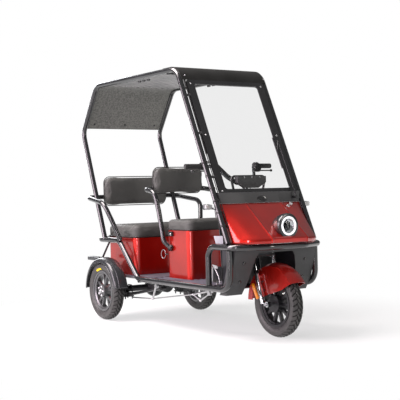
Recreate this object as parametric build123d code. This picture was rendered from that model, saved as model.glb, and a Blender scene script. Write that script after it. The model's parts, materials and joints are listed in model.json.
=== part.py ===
from build123d import *
from math import atan2, cos, degrees, hypot, radians, sin
import os

# Electric tricycle with a tube frame, a canopy, a windshield and two seats in tandem.
# Axes: +X is forward, +Y is to the left, +Z is up. The pieces are laid out from the
# rear axle line on the ground, and the last step moves the origin under the middle
# of the vehicle. All lengths are in millimetres and all angles in degrees.

# Clearances: between welded or clamped pieces, between seated sheets, and at pins
weld_gap = 0.2
seat_gap = 0.3
pin_gap = 0.3
overrun = 60.0
sheet = 3.0

# Wheels
wheelbase = 1500.0
rear_half_track = 404.0
tyre_radius = 210.0
tyre_width = 82.0
bead_radius = 136.0
bead_half_width = 27.0
rim_wall = 5.0
rim_lip_height = 10.0
rim_lip_width = 5.0
rim_well_depth = 10.0
rim_well_half = 17.0
rear_hub_radius = 46.0
front_hub_radius = 54.0
hub_half_width = 40.0
spoke_width = 17.0
spoke_depth = 22.0
pair_spread_deg = 13.0
front_spokes = 10
rear_spoke_pairs = 5
axle_diameter = 18.0

# Tubes
main_tube = 38.0
canopy_tube = 35.0
arm_tube = 34.0
cross_tube = 30.0
upright_tube = 25.0
strut_tube = 14.0
canopy_cross_tube = 22.0

# Side loop of the main frame
frame_half_width = 335.0
rail_z = 311.0
loop_top_z = 573.0
loop_rear_x = -230.0
rail_rear_x = 348.0
front_leg_setback = 39.0
front_leg_x = wheelbase - front_leg_setback
rail_bend = 90.0
rear_loop_bend = 60.0

# Bumper bar
bumper_z = 570.0
bumper_corner_lead = 5.0
bumper_nose_lead = 100.0
bumper_nose_half = 140.0
bumper_leg_setback = 268.0
bumper_leg_x = wheelbase - bumper_leg_setback
bumper_bend = 70.0
nose_bend = 110.0

# Canopy loop, as places along the side
canopy_flare = 2.0
canopy_half_width = frame_half_width + canopy_flare
post_foot_setback = 46.0
post_foot_z = 596.0
post_lean_share = 0.4768
roof_z = 1716.0
roof_rear_x = -205.0
knee_reach = 231.0
knee_drop = 339.0
canopy_foot_x = -124.0
post_bend = 120.0
roof_bend = 110.0
knee_bend = 90.0
post_foot_x = wheelbase - post_foot_setback
roof_front_x = post_foot_x - post_lean_share * (roof_z - post_foot_z)
knee_x = roof_rear_x - knee_reach
knee_z = roof_z - knee_drop

# Roof sheet and canopy panels
roof_ribs = 12
roof_rib_rise = 10.0
roof_sheet = 2.5
rear_panel_thickness = 4.0
rear_panel_lap = 60.0
fascia_lap = 55.0

# Windshield, parallel to the posts and ahead of them
windshield_ahead = 30.0
windshield_top_drop = 75.0
windshield_low_z = 900.0
windshield_side_gap = 28.0
windshield_corner = 18.0
border_thickness = 12.0
border_side = 53.0
border_end = 30.0
glass_thickness = 4.0
glass_lap = 14.0
bracket_diameter = 16.0
dash_tube_drop = 38.0
dash_tube_z = windshield_low_z - dash_tube_drop
windshield_top_z = roof_z - windshield_top_drop
windshield_half_width = canopy_half_width - windshield_side_gap

# Floor and the frame under it
floor_base_z = 315.0
floor_plate = 8.0
floor_rib_height = 6.0
floor_rib_width = 9.0
floor_rib_count = 13
floor_rib_margin = 12.0
floor_front_setback = 300.0
floor_rear_x = -212.0
floor_side_gap = 0.4
mat_thickness = 5.0
mat_margin = 16.0
subframe_inset = 135.0
subframe_z = 300.0
neck_half_width = 70.0
neck_setback = 278.0
neck_bend = 30.0
floor_front_x = wheelbase - floor_front_setback
floor_top_z = floor_base_z + floor_plate
floor_half_width = frame_half_width - main_tube / 2 - floor_side_gap
subframe_half_width = frame_half_width - subframe_inset
neck_x = wheelbase - neck_setback

# Seats
box_wall = 3.0
box_corner = 42.0
front_box_inset = 130.0
front_box_rear_x = 524.0
front_box_length = 296.0
front_box_top = 652.0
front_cushion_height = 70.0
rear_box_inset = 63.0
rear_box_rear_x = -202.0
rear_box_length = 416.0
rear_box_top = 590.0
rear_cushion_height = 90.0
cushion_overhang = 9.0
cushion_round = 16.0
seatback_thickness = 70.0
seatback_corner = 55.0
seatback_round = 24.0
front_back_rear_x = 331.0
front_back_low = 905.0
front_back_height = 187.0
rear_back_rear_x = -281.0
rear_back_low = 822.0
rear_back_height = 218.0
front_box_half_width = frame_half_width - front_box_inset
rear_box_half_width = frame_half_width - rear_box_inset
front_box_front_x = front_box_rear_x + front_box_length
rear_box_front_x = rear_box_rear_x + rear_box_length
battery_length = 330.0
battery_width = 380.0
battery_height = 175.0

# Steering
rake_deg = 18.0
steer_setback = 51.0
steer_x = wheelbase - steer_setback
fork_half_width = 80.0
fork_lower_diameter = 30.0
fork_upper_diameter = 20.0
fork_lower_length = 190.0
fork_foot_diameter = 22.0
fork_foot_rise = 12.0
fork_lug_diameter = 34.0
fork_lug_half = 12.0
crown_thickness = 22.0
crown_depth = 44.0
crown_low = 296.0
fender_boss_diameter = 20.0
fender_boss_drop = 16.0
column_diameter = 28.0
column_drop = 26.2
head_tube_diameter = 46.0
head_tube_bore = 34.0
head_tube_length = 80.0
head_tube_gap = 0.4
head_tube_low = crown_low + crown_thickness + head_tube_gap
column_top = (windshield_low_z - column_drop - tyre_radius) / cos(radians(rake_deg))

# Handlebar
bar_diameter = 22.0
bar_setback = 91.0
bar_lift = 88.0
bar_sweep = 142.0
bar_rise = 116.0
bar_half_width = 340.0
bar_bend = 36.0
stem_diameter = 30.0
stem_clamp_diameter = 40.0
stem_clamp_height = 30.0
grip_diameter = 33.0
grip_length = 115.0
grip_end_wall = 4.0
switch_diameter = 50.0
switch_width = 26.0
lever_diameter = 9.0
lever_reach = 44.0
lever_drop = 32.0

# Hood and the fascia above it
hood_top_drop = 64.0
hood_crease_z = 622.0
hood_low_z = 592.0
hood_side_gap = 2.0
hood_setback = 3.0
hood_ridge_half = 137.0
hood_nose_lead = 177.0
hood_brow_lead = 26.0
hood_return = 20.0
fascia_overlap = 5.0
hood_top_z = windshield_low_z - hood_top_drop

# Wiper
wiper_drop = 34.0
wiper_inset = 47.0
wiper_lift = 24.0
wiper_arm_diameter = 9.0
wiper_arm_length = 414.0
wiper_blade_diameter = 11.0
wiper_blade_length = 225.0
wiper_spindle_diameter = 18.0
wiper_spindle_length = 40.0
wiper_z = windshield_low_z - wiper_drop
wiper_y = windshield_half_width - wiper_inset

# Headlamp
lamp_lead = 122.0
lamp_height_share = 0.418
lamp_radius = 80.0
lamp_length = 118.0
lamp_ring_radius = 67.0
lamp_cup_depth = 34.0
lamp_round = 10.0
lamp_z = hood_low_z + lamp_height_share * (hood_top_z - hood_low_z)

# Front shield and footwell panel
shield_height = 276.0
shield_top_drop = 22.0
shield_sweep = 108.0
shield_lead = 35.0
shield_depth = 70.0
arch_half_low = 200.0
footwell_inset = 130.0
footwell_height = 477.0
footwell_lean = 30.0
footwell_thickness = 4.0
footwell_foot_gap = 8.0
footwell_half_width = frame_half_width - footwell_inset

# Fenders
rear_fender_radius = 240.0
rear_fender_half = 54.0
rear_fender_crown = 12.0
rear_fender_skirt = 22.0
rear_fender_start_deg = 8.0
rear_fender_end_deg = 178.0
front_fender_radius = 251.0
front_fender_half = 60.0
front_fender_crown = 20.0
front_fender_cheek = 170.0
front_fender_start_deg = 30.0
front_fender_end_deg = 180.0
stay_x = -50.0

# Rear axle, springs and brake rods
axle_tube = 46.0
axle_end_gap = 14.0
axle_housing = 72.0
brake_drum_diameter = 96.0
brake_drum_width = 24.0
motor_diameter = 104.0
motor_length = 120.0
motor_lift = 22.0
spring_inset = 97.0
spring_width = 40.0
spring_leaf = 8.0
spring_leaves = 3
spring_rise = 84.0
spring_front_length = 520.0
spring_rear_length = 205.0
spring_eye = 26.0
ubolt_diameter = 9.0
ubolt_reach = 34.0
linkage_inset = 45.0
linkage_rod = 9.0
linkage_boss = 30.0
spring_y = frame_half_width - spring_inset
linkage_y = frame_half_width - linkage_inset

# Small parts
lamp_tail_length = 176.0
lamp_tail_width = 52.0
lamp_tail_height = 26.0
lamp_tail_round = 6.0
signal_setback = 186.0
signal_z = 802.0
signal_out = 44.0
signal_size = 42.0
signal_depth = 28.0
signal_stalk = 10.0
dash_behind = 73.5
dash_hoop_half = 138.0
dash_foot_half = 106.0
dash_hoop_rise = 134.0
dash_foot_drop = 28.0
dash_hoop_tube = 16.0
dash_hoop_bend = 24.0
pod_half_width = 112.0
pod_height = 76.0
pod_depth = 34.0
pedal_setback = 310.0
pedal_inset = 90.0
pedal_width = 70.0
pedal_height = 100.0
pedal_thickness = 8.0
pedal_rise = 14.0
latch_length = 40.0
latch_height = 32.0
latch_depth = 22.0
latch_drop = 6.0
dash_foot_z = windshield_low_z - dash_foot_drop
pedal_y = frame_half_width - pedal_inset


def bent_tube(points, bends, diameter):
    """A round bar along straight runs that are joined by tangent arcs."""
    path = FilletPolyline(*points, radius=bends)
    start = Plane(origin=path @ 0, z_dir=path % 0)
    return sweep(start * Circle(diameter / 2), path=path)


def rod(start, end, diameter):
    """A straight round bar between two places."""
    path = Line(start, end)
    return sweep(Plane(origin=path @ 0, z_dir=path % 0) * Circle(diameter / 2), path=path)


def pair(shape):
    """The shape and its mirror image across the middle plane."""
    return shape + mirror(shape, about=Plane.XZ)


def hoop(half, diameter):
    """A bar that runs down the right side and up the left, from rows of x, y, z and bend."""
    right = [(x, -y, z) for x, y, z, bend in half]
    left = [(x, y, z) for x, y, z, bend in reversed(half)]
    bends = [bend for x, y, z, bend in half if bend]
    return bent_tube(right + left, bends + bends[::-1], diameter)


def block(x_low, x_high, y_low, y_high, z_low, z_high):
    """A box between two opposite corners."""
    size = (x_high - x_low, y_high - y_low, z_high - z_low)
    centre = ((x_low + x_high) / 2, (y_low + y_high) / 2, (z_low + z_high) / 2)
    return Location(centre) * Box(*size)


def side_plate(points, y_low, y_high):
    """A flat outline in the XZ plane, carried from y_low to y_high."""
    face = make_face(Polyline(*[(x, 0, z) for x, z in points], close=True))
    return Location((0, y_low, 0)) * extrude(face, amount=y_high - y_low, dir=(0, 1, 0))


def turned(profile, x, z):
    """A solid of revolution about a line along +X, from rows of radius and place along it."""
    face = make_face(Polyline(*[(radius, 0, along) for radius, along in profile], close=True))
    return Location((x, 0, z)) * Rot(0, 90, 0) * revolve(face, axis=Axis.Z)


def main_solid(shape):
    """The largest solid that a cut leaves."""
    return shape.solids().sort_by(SortBy.VOLUME)[-1]


def steer_point(along, side=0.0):
    """A place given along the steering axis from the axle's height, and beside it."""
    lean = radians(rake_deg)
    return (steer_x - along * sin(lean), side, tyre_radius + along * cos(lean))


def post_x(z):
    """Centre of the front canopy post at a height."""
    share = (z - post_foot_z) / (roof_z - post_foot_z)
    return post_foot_x + share * (roof_front_x - post_foot_x)


def windshield_x(z):
    """Outer face of the windshield border at a height."""
    return post_x(z) + windshield_ahead


def windshield_lean():
    """How far the windshield and the posts lean back from upright, in degrees."""
    return degrees(atan2(post_foot_x - roof_front_x, roof_z - post_foot_z))


def post(side, diameter):
    """One front canopy post as a straight bar on its centre line."""
    y = side * canopy_half_width
    return rod((post_foot_x, y, post_foot_z), (roof_front_x, y, roof_z), diameter)


def dash_tube(diameter):
    """The cross tube between the posts that carries the dash."""
    x = post_x(dash_tube_z)
    return rod((x, -canopy_half_width, dash_tube_z), (x, canopy_half_width, dash_tube_z), diameter)


def main_loop(diameter):
    """One tube from a front leg along the floor, up behind the rear seat and back."""
    w = frame_half_width
    rise = loop_top_z - rail_z
    half = [
        (front_leg_x, w, bumper_z - main_tube / 2, None),
        (front_leg_x, w, rail_z, rail_bend),
        (rail_rear_x, w, rail_z, rail_bend),
        (rail_rear_x - rise, w, loop_top_z, rail_bend),
        (loop_rear_x, w, loop_top_z, rear_loop_bend),
    ]
    return hoop(half, diameter)


def fender_stay(side):
    """A strut from the rear loop down to the top of a rear fender."""
    y = side * rear_half_track
    crest_z = tyre_radius + rear_fender_radius - 2 * sheet
    stay = rod((stay_x, side * frame_half_width, loop_top_z), (stay_x, y, crest_z), strut_tube)
    reach = rear_fender_radius + sheet + seat_gap
    return stay - rod((0, y - overrun, tyre_radius), (0, y + overrun, tyre_radius), 2 * reach)


def build_main_frame():
    return main_loop(main_tube) + fender_stay(-1) + fender_stay(1)


def build_floor_frame():
    w = frame_half_width
    middle_x = (rail_rear_x + floor_front_x) / 2
    crosses = (rail_rear_x, spring_front_length, middle_x, floor_front_x - cross_tube)
    frame = rod((neck_x, -subframe_half_width, subframe_z), (neck_x, subframe_half_width, subframe_z), cross_tube)
    for x in crosses:
        frame += rod((x, -w, subframe_z), (x, w, subframe_z), cross_tube)
    for y in (-subframe_half_width, subframe_half_width):
        frame += rod((loop_rear_x, y, subframe_z), (neck_x, y, subframe_z), cross_tube)
        frame += rod((loop_rear_x, y, subframe_z), (loop_rear_x, y, loop_top_z), upright_tube)
    return main_solid(frame - main_loop(main_tube + 2 * weld_gap))


def build_neck_frame():
    middle = steer_point(head_tube_low + head_tube_length / 2)
    neck = rod(steer_point(head_tube_low), steer_point(head_tube_low + head_tube_length), head_tube_diameter)
    foot_z = subframe_z + cross_tube / 2 + weld_gap
    for side in (-1, 1):
        y = side * neck_half_width
        runs = [(neck_x, y, foot_z), (neck_x, y, middle[2]), (middle[0], side * strut_tube, middle[2])]
        neck += bent_tube(runs, [neck_bend], upright_tube)
    bore = rod(steer_point(head_tube_low - overrun), steer_point(head_tube_low + head_tube_length + overrun),
               head_tube_bore)
    return neck - bore


def bumper_loop(diameter):
    w = frame_half_width
    half = [
        (bumper_leg_x, w, rail_z + main_tube / 2, None),
        (bumper_leg_x, w, bumper_z, bumper_bend),
        (wheelbase + bumper_corner_lead, w, bumper_z, bumper_bend),
        (wheelbase + bumper_nose_lead, bumper_nose_half, bumper_z, nose_bend),
    ]
    return hoop(half, diameter)


def rear_panel_normal():
    """Unit direction along the rear panel's run and the one that points out of it."""
    run = Vector(-knee_reach, 0, -knee_drop).normalized()
    return run, Vector(run.Z, 0, -run.X)


def build_canopy_frame():
    w = canopy_half_width
    points = [
        (post_foot_x, -w, post_foot_z),
        (roof_front_x, -w, roof_z),
        (roof_rear_x, -w, roof_z),
        (knee_x, -w, knee_z),
        (canopy_foot_x, -w, loop_top_z),
    ]
    side = bent_tube(points, [post_bend, roof_bend, knee_bend], canopy_tube)
    side -= main_loop(main_tube + 2 * weld_gap)
    side -= bumper_loop(main_tube + 2 * weld_gap)
    side -= block(canopy_foot_x - overrun, canopy_foot_x + overrun, -w - overrun, -w + overrun,
                  loop_top_z - overrun, loop_top_z)
    frame = pair(main_solid(side))
    run, out = rear_panel_normal()
    offset = rear_panel_thickness / 2 + seat_gap + canopy_cross_tube / 2
    behind = Vector(knee_x, 0, knee_z) - run * knee_bend + out * offset
    under_z = roof_z - roof_sheet - seat_gap - canopy_cross_tube / 2
    crosses = [(behind.X, behind.Z), (roof_front_x - post_bend, under_z), (post_x(dash_tube_z), dash_tube_z)]
    for x, z in crosses:
        frame += rod((x, -w, z), (x, w, z), canopy_cross_tube)
    return frame


def build_roof_panel():
    inner = canopy_half_width - canopy_tube / 2 + seat_gap
    pitch = 2 * inner / roof_ribs
    rib_shares = ((0.0, 0.0), (0.36, 0.0), (0.50, 1.0), (0.86, 1.0))
    top = []
    for i in range(roof_ribs):
        top += [(-inner + (i + across) * pitch, up * roof_rib_rise) for across, up in rib_shares]
    top.append((inner, 0.0))
    outline = top + [(y, z - roof_sheet) for y, z in reversed(top)]
    face = make_face(Polyline(*[(0, y, z) for y, z in outline], close=True))
    rear_x = roof_rear_x + rear_panel_lap + seat_gap
    front_x = roof_front_x - fascia_lap
    panel = Location((rear_x, 0, roof_z)) * extrude(face, amount=front_x - rear_x, dir=(1, 0, 0))
    for y in (-canopy_half_width, canopy_half_width):
        panel -= rod((rear_x - overrun, y, roof_z), (front_x + overrun, y, roof_z), canopy_tube + 2 * weld_gap)
    return main_solid(panel)


def canopy_sheet(points, bend, half_width, thickness):
    """A sheet that runs along straight lines with one rounded bend."""
    path = FilletPolyline(*[(x, 0, z) for x, z in points], radius=bend)
    start = Plane(origin=path @ 0, x_dir=(0, 1, 0), z_dir=path % 0)
    return sweep(start * Rectangle(2 * half_width, thickness), path=path)


def build_roof_fascia():
    lean = radians(windshield_lean())
    offset = canopy_tube / 2 + seat_gap + sheet / 2
    corner_x = roof_front_x + offset * (1 - sin(lean)) / cos(lean)
    low_z = windshield_top_z
    low_x = post_x(low_z) + offset / cos(lean)
    points = [(roof_front_x - fascia_lap - post_bend, roof_z + offset), (corner_x, roof_z + offset), (low_x, low_z)]
    return canopy_sheet(points, post_bend + offset, canopy_half_width, sheet)


def build_rear_canopy_panel():
    inner = canopy_half_width - canopy_tube / 2 - seat_gap
    run, out = rear_panel_normal()
    low = Vector(knee_x, 0, knee_z) - run * (knee_bend / 2)
    points = [(roof_rear_x + rear_panel_lap, roof_z), (roof_rear_x, roof_z), (low.X, low.Z)]
    return canopy_sheet(points, roof_bend, inner, rear_panel_thickness)


def build_windshield():
    lean = windshield_lean()
    height = (windshield_top_z - windshield_low_z) / cos(radians(lean))
    outer = RectangleRounded(2 * windshield_half_width, height, windshield_corner)
    hole_w = 2 * (windshield_half_width - border_side)
    hole_h = height - 2 * border_end
    hole = RectangleRounded(hole_w, hole_h, windshield_corner)
    border = extrude(Plane.YZ * (outer - hole), amount=-border_thickness)
    pane = RectangleRounded(hole_w + 2 * glass_lap, hole_h + 2 * glass_lap, windshield_corner)
    glass = Pos(-border_thickness, 0, 0) * extrude(Plane.YZ * pane, amount=-glass_thickness)
    middle_z = (windshield_top_z + windshield_low_z) / 2
    place = Location((windshield_x(middle_z), 0, middle_z)) * Rot(0, -lean, 0)
    border = place * border
    for share in (0.14, 0.52, 0.86):
        z = windshield_low_z + share * (windshield_top_z - windshield_low_z)
        inner_y = windshield_half_width - bracket_diameter / 2
        middle_x = windshield_x(z) - border_thickness / 2
        bracket = rod((middle_x, inner_y, z), (post_x(z), canopy_half_width, z), bracket_diameter)
        bracket -= post(1, canopy_tube + 2 * weld_gap)
        bracket -= glass_side(place, height)
        border += pair(main_solid(bracket))
    return border, place * glass


def glass_side(place, height):
    """All that lies in front of the windshield border."""
    return place * Pos(overrun / 2, 0, 0) * Box(overrun, 2 * canopy_half_width, height)


def plan_section(z, plan, back_x, inset):
    """A closed outline at one height, from the right half's turning points."""
    half = [(x - inset, max(y - inset, 0)) for x, y in plan]
    half = [(back_x, half[0][1])] + half
    points = [(x, -y) for x, y in half] + [(x, y) for x, y in reversed(half)]
    return make_face(Polyline(*[(x, y, z) for x, y in points], close=True))


def sheet_shell(rows, back_x, wall):
    """A thin shell through plans at rising heights, open at its back, top and bottom."""
    outer = loft([plan_section(z, plan, back_x, 0.0) for z, plan in rows], ruled=True)
    low_z, top_z = rows[0][0] - seat_gap, rows[-1][0] + seat_gap
    inner_rows = [(low_z, rows[0][1])] + rows[1:-1] + [(top_z, rows[-1][1])]
    inner = loft([plan_section(z, plan, back_x - overrun, wall) for z, plan in inner_rows], ruled=True)
    return outer - inner


def hood_plan(z, flank_shares):
    """The hood's right half at a height: corner, rounded flank and ridge."""
    rise = min(max((z - hood_crease_z) / (hood_top_z - hood_crease_z), 0.0), 1.0)
    corner_x = post_x(z) - hood_setback
    corner_y = canopy_half_width - canopy_tube / 2 - hood_side_gap
    nose_x = post_x(hood_low_z) + hood_nose_lead
    brow_x = post_x(hood_top_z) + hood_brow_lead
    ridge_x = nose_x + rise * (brow_x - nose_x)
    ridge_y = hood_ridge_half
    plan = [(corner_x, corner_y)]
    for ahead, inward in flank_shares:
        plan.append((corner_x + ahead * (ridge_x - corner_x), corner_y + inward * (ridge_y - corner_y)))
    return plan + [(ridge_x, ridge_y)]


def build_hood():
    low_shares = ((0.28, 0.12), (0.50, 0.27), (0.68, 0.44), (0.84, 0.68))
    top_shares = ((0.07, 0.05), (0.14, 0.10), (0.42, 0.36), (0.72, 0.70))
    rows = [
        (hood_low_z, hood_plan(hood_low_z, low_shares)),
        (hood_crease_z, hood_plan(hood_crease_z, low_shares)),
        (hood_top_z, hood_plan(hood_top_z, top_shares)),
    ]
    hood = sheet_shell(rows, post_x(hood_top_z) - hood_return, sheet)
    reach = 2 * lamp_length
    lamp_x = wheelbase + lamp_lead
    return hood - rod((lamp_x - reach, 0, lamp_z), (lamp_x + reach, 0, lamp_z), 2 * (lamp_radius + seat_gap))


def wiper_spindle(diameter):
    """The wiper's spindle, or the hole for it."""
    x = windshield_x(wiper_z) + wiper_lift
    return rod((x - wiper_spindle_length, wiper_y, wiper_z), (x, wiper_y, wiper_z), diameter)


def build_lower_fascia():
    z_low = hood_top_z + seat_gap
    z_high = windshield_low_z + fascia_overlap
    straight_shares = ((0.2, 0.2), (0.4, 0.4), (0.6, 0.6), (0.8, 0.8))
    low = hood_plan(hood_top_z, straight_shares)
    top_x = windshield_x(z_high) + 2 * sheet
    high = [(top_x, y) for x, y in low]
    fascia = sheet_shell([(z_low, low), (z_high, high)], post_x(z_high) - canopy_tube, sheet)
    fascia -= dash_tube(canopy_cross_tube + 2 * weld_gap)
    fascia -= pair(post(1, canopy_tube + 2 * weld_gap))
    return main_solid(fascia - wiper_spindle(wiper_spindle_diameter + 2 * seat_gap))


def build_headlamp():
    lamp_x = wheelbase + lamp_lead
    body = [
        (0, -lamp_length), (lamp_radius - lamp_round, -lamp_length), (lamp_radius, -lamp_length + 2 * lamp_round),
        (lamp_radius, -lamp_round), (lamp_radius - lamp_round, 0), (lamp_ring_radius, 0),
        (lamp_ring_radius, -lamp_cup_depth), (0, -lamp_cup_depth),
    ]
    base = -lamp_cup_depth + seat_gap
    rim_r = lamp_ring_radius - seat_gap
    lens_shares = ((1.0, 0.0), (1.0, 0.85), (0.93, 0.95), (0.80, 0.90), (0.74, 0.40), (0.40, 0.36),
                   (0.34, 0.64), (0.0, 0.78))
    lens = [(0, base)] + [(rim_r * out, base - base * deep) for out, deep in lens_shares]
    return turned(body, lamp_x, lamp_z), turned(lens, lamp_x, lamp_z)


def build_front_shield():
    w = frame_half_width - main_tube / 2 - seat_gap
    top_z = bumper_z - shield_top_drop
    row_shares = ((1.0, 1.0), (0.815, 0.721), (0.491, 0.297), (0.0, 0.0))
    foot_x = front_leg_x + shield_lead - shield_sweep
    rows = [(foot_x + sweep * shield_sweep, top_z - (1 - up) * shield_height) for sweep, up in row_shares]
    back = [(x - shield_depth, z) for x, z in reversed(rows)]
    outer = side_plate(rows + back, -w, w)
    front = [(x - sheet, z) for x, z in rows]
    front[0] = (front[0][0] + sheet, front[0][1] + overrun)
    front[-1] = (front[-1][0], front[-1][1] + sheet)
    rear = [(x - shield_depth - overrun, z) for x, z in reversed(front)]
    shell = outer - side_plate(front + rear, -w + sheet, w - sheet)
    arch_shares = ((0.66, 0.935), (0.75, 0.844), (0.86, 0.573), (0.94, 0.283), (1.0, -0.1))
    arch = [(arch_half_low * across, top_z - (1 - up) * shield_height) for across, up in arch_shares]
    outline = [(-y, z) for y, z in arch] + [(y, z) for y, z in reversed(arch)]
    face = make_face(Polyline(*[(foot_x - 2 * overrun, y, z) for y, z in outline], close=True))
    return shell - extrude(face, amount=shield_sweep + 4 * overrun, dir=(1, 0, 0))


def build_footwell_panel():
    base_x = floor_front_x - footwell_foot_gap
    base_z = floor_top_z + seat_gap
    rise_shares = ((0.0, 0.0), (0.45, 0.58), (1.0, 1.0))
    front = [(base_x - back * footwell_lean, base_z + up * footwell_height) for back, up in rise_shares]
    rear = [(x - footwell_thickness, z) for x, z in reversed(front)]
    return side_plate(front + rear, -footwell_half_width, footwell_half_width)


def build_floor_pan():
    w = floor_half_width
    pan = block(floor_rear_x, floor_front_x, -w, w, floor_base_z, floor_top_z)
    rib_top = floor_top_z + floor_rib_height
    front_start = front_box_front_x + floor_rib_margin
    side_start = front_box_rear_x - floor_rib_margin
    for i in range(floor_rib_count):
        y = -w + (i + 1) * 2 * w / (floor_rib_count + 1)
        beside_box = abs(y) > front_box_half_width + floor_rib_margin
        start = side_start if beside_box else front_start
        end = floor_front_x - footwell_foot_gap - 2 * floor_rib_margin
        pan += block(start, end, y - floor_rib_width / 2, y + floor_rib_width / 2, floor_top_z, rib_top)
    return pan


def build_rear_floor_mat():
    x_low = rear_box_front_x + mat_margin
    x_high = front_box_rear_x - mat_margin
    half = floor_half_width - mat_margin
    mat = Rectangle(x_high - x_low, 2 * half)
    mat = fillet(mat.vertices(), mat_margin)
    return Pos((x_low + x_high) / 2, 0, floor_top_z + weld_gap) * extrude(mat, amount=mat_thickness)


def seat_box(rear_x, front_x, half_width, top_z):
    outer = block(rear_x, front_x, -half_width, half_width, floor_top_z, top_z)
    outer = fillet(outer.edges().filter_by(Axis.Z), box_corner)
    inner = block(rear_x + box_wall, front_x - box_wall, -half_width + box_wall, half_width - box_wall,
                  floor_top_z + box_wall, top_z + overrun)
    inner = fillet(inner.edges().filter_by(Axis.Z), box_corner - box_wall)
    return outer - inner


def seat_cushion(rear_x, front_x, half_width, low_z, height):
    outer = block(rear_x - cushion_overhang, front_x + cushion_overhang, -half_width - cushion_overhang,
                  half_width + cushion_overhang, low_z + seat_gap, low_z + height)
    outer = fillet(outer.edges().filter_by(Axis.Z), box_corner + cushion_overhang)
    return fillet(outer.edges().group_by(Axis.Z)[-1], cushion_round)


def seatback(rear_x, half_width, z_low, height):
    shape = RectangleRounded(2 * half_width, height, seatback_corner)
    pad = extrude(Plane.YZ * shape, amount=seatback_thickness)
    pad = fillet(pad.edges().group_by(Axis.X)[-1], seatback_round)
    return Pos(rear_x, 0, z_low + height / 2) * pad


def build_front_armrests():
    reach = front_box_half_width + seat_gap
    rear_x = front_back_rear_x - arm_tube / 2 - seat_gap
    drop = front_back_low + front_back_height / 4 - floor_top_z
    run = front_box_rear_x - rear_x
    # Columns: how far forward and down, as shares, and how far outside the box, as a share
    # of the bar's thickness; then the bend as a share of the drop
    row_shares = (
        (0.0, 0.02, 1.20, 0.08), (0.70, 0.05, 1.40, 0.13), (0.87, 0.27, 1.12, 0.15),
        (1.10, 0.60, 0.97, 0.10), (1.36, 0.68, 0.0, 0.0))
    half = []
    for ahead, down, out, bend in reversed(row_shares):
        z = floor_top_z + drop * (1 - down)
        half.append((rear_x + ahead * run, reach + out * arm_tube, z, bend * drop))
    arms = hoop(half, arm_tube)
    return arms - block(front_box_rear_x, front_box_front_x, -reach, reach, floor_base_z, front_box_top)


def build_rear_armrests():
    rear_x = rear_back_rear_x - arm_tube / 2 - seat_gap
    run = rail_rear_x - rear_x
    drop = rear_back_low + rear_back_height / 3 - loop_top_z
    # Columns: forward as a share of the run, down as a share of the drop, out as a share
    # of the bar's thickness, and the bend as a share of the drop
    row_shares = (
        (0.0, 0.022, 1.68, 0.24), (0.492, 0.155, 2.50, 0.32), (0.573, 0.553, 1.44, 0.38), (0.636, 1.0, 0.15, 0.0))
    half = []
    for ahead, down, out, bend in reversed(row_shares):
        z = loop_top_z + drop * (1 - down)
        half.append((rear_x + ahead * run, frame_half_width + out * arm_tube, z, bend * drop))
    return main_solid(hoop(half, arm_tube) - main_loop(main_tube + 2 * weld_gap))


def build_rear_axle():
    z = tyre_radius
    tube_end = rear_half_track - hub_half_width - axle_end_gap
    axle = rod((0, -tube_end, z), (0, tube_end, z), axle_tube)
    axle += Location((0, 0, z)) * Sphere(axle_housing)
    stub_end = rear_half_track + hub_half_width + axle_end_gap
    axle += rod((0, -stub_end, z), (0, stub_end, z), axle_diameter)
    return axle + pair(rod((0, tube_end - brake_drum_width, z), (0, tube_end, z), brake_drum_diameter))


def build_drive_motor():
    z = tyre_radius + motor_lift
    start = axle_housing + seat_gap
    return rod((start, 0, z), (start + motor_length, 0, z), motor_diameter)


def build_leaf_springs():
    top_z = tyre_radius - axle_tube / 2 - seat_gap
    pack = spring_leaf * spring_leaves
    low_z = top_z - pack
    tip_z = low_z + spring_rise
    front_x, rear_x = spring_front_length, -spring_rear_length
    clamp = axle_tube
    profile = [
        (rear_x, tip_z), (-clamp, low_z), (clamp, low_z), (front_x, tip_z),
        (front_x, tip_z + spring_leaf), (clamp, top_z), (-clamp, top_z), (rear_x, tip_z + spring_leaf),
    ]
    y = spring_y
    spring = side_plate(profile, y - spring_width / 2, y + spring_width / 2)
    eye_z = tip_z + spring_leaf / 2
    for x in (front_x, rear_x):
        spring += rod((x, y - spring_width / 2, eye_z), (x, y + spring_width / 2, eye_z), spring_eye)
        spring += rod((x, y, eye_z), (x, subframe_half_width, subframe_z), strut_tube)
    plate_half = spring_width / 2 + 2 * ubolt_diameter
    spring += block(-ubolt_reach - ubolt_diameter, ubolt_reach + ubolt_diameter, y - plate_half, y + plate_half,
                    low_z - spring_leaf, low_z)
    over_z = tyre_radius + axle_tube / 2 + seat_gap + ubolt_diameter / 2
    for bolt_y in (y - plate_half + ubolt_diameter, y + plate_half - ubolt_diameter):
        foot_z = low_z - pack
        runs = [(-ubolt_reach, bolt_y, foot_z), (-ubolt_reach, bolt_y, over_z),
                (ubolt_reach, bolt_y, over_z), (ubolt_reach, bolt_y, foot_z)]
        spring += bent_tube(runs, [ubolt_reach / 2] * 2, ubolt_diameter)
    spring -= rod((loop_rear_x - overrun, subframe_half_width, subframe_z),
                  (floor_front_x, subframe_half_width, subframe_z), cross_tube + 2 * weld_gap)
    spring -= rod((front_x, 0, subframe_z), (front_x, frame_half_width, subframe_z), cross_tube + 2 * weld_gap)
    return pair(main_solid(spring))


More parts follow.
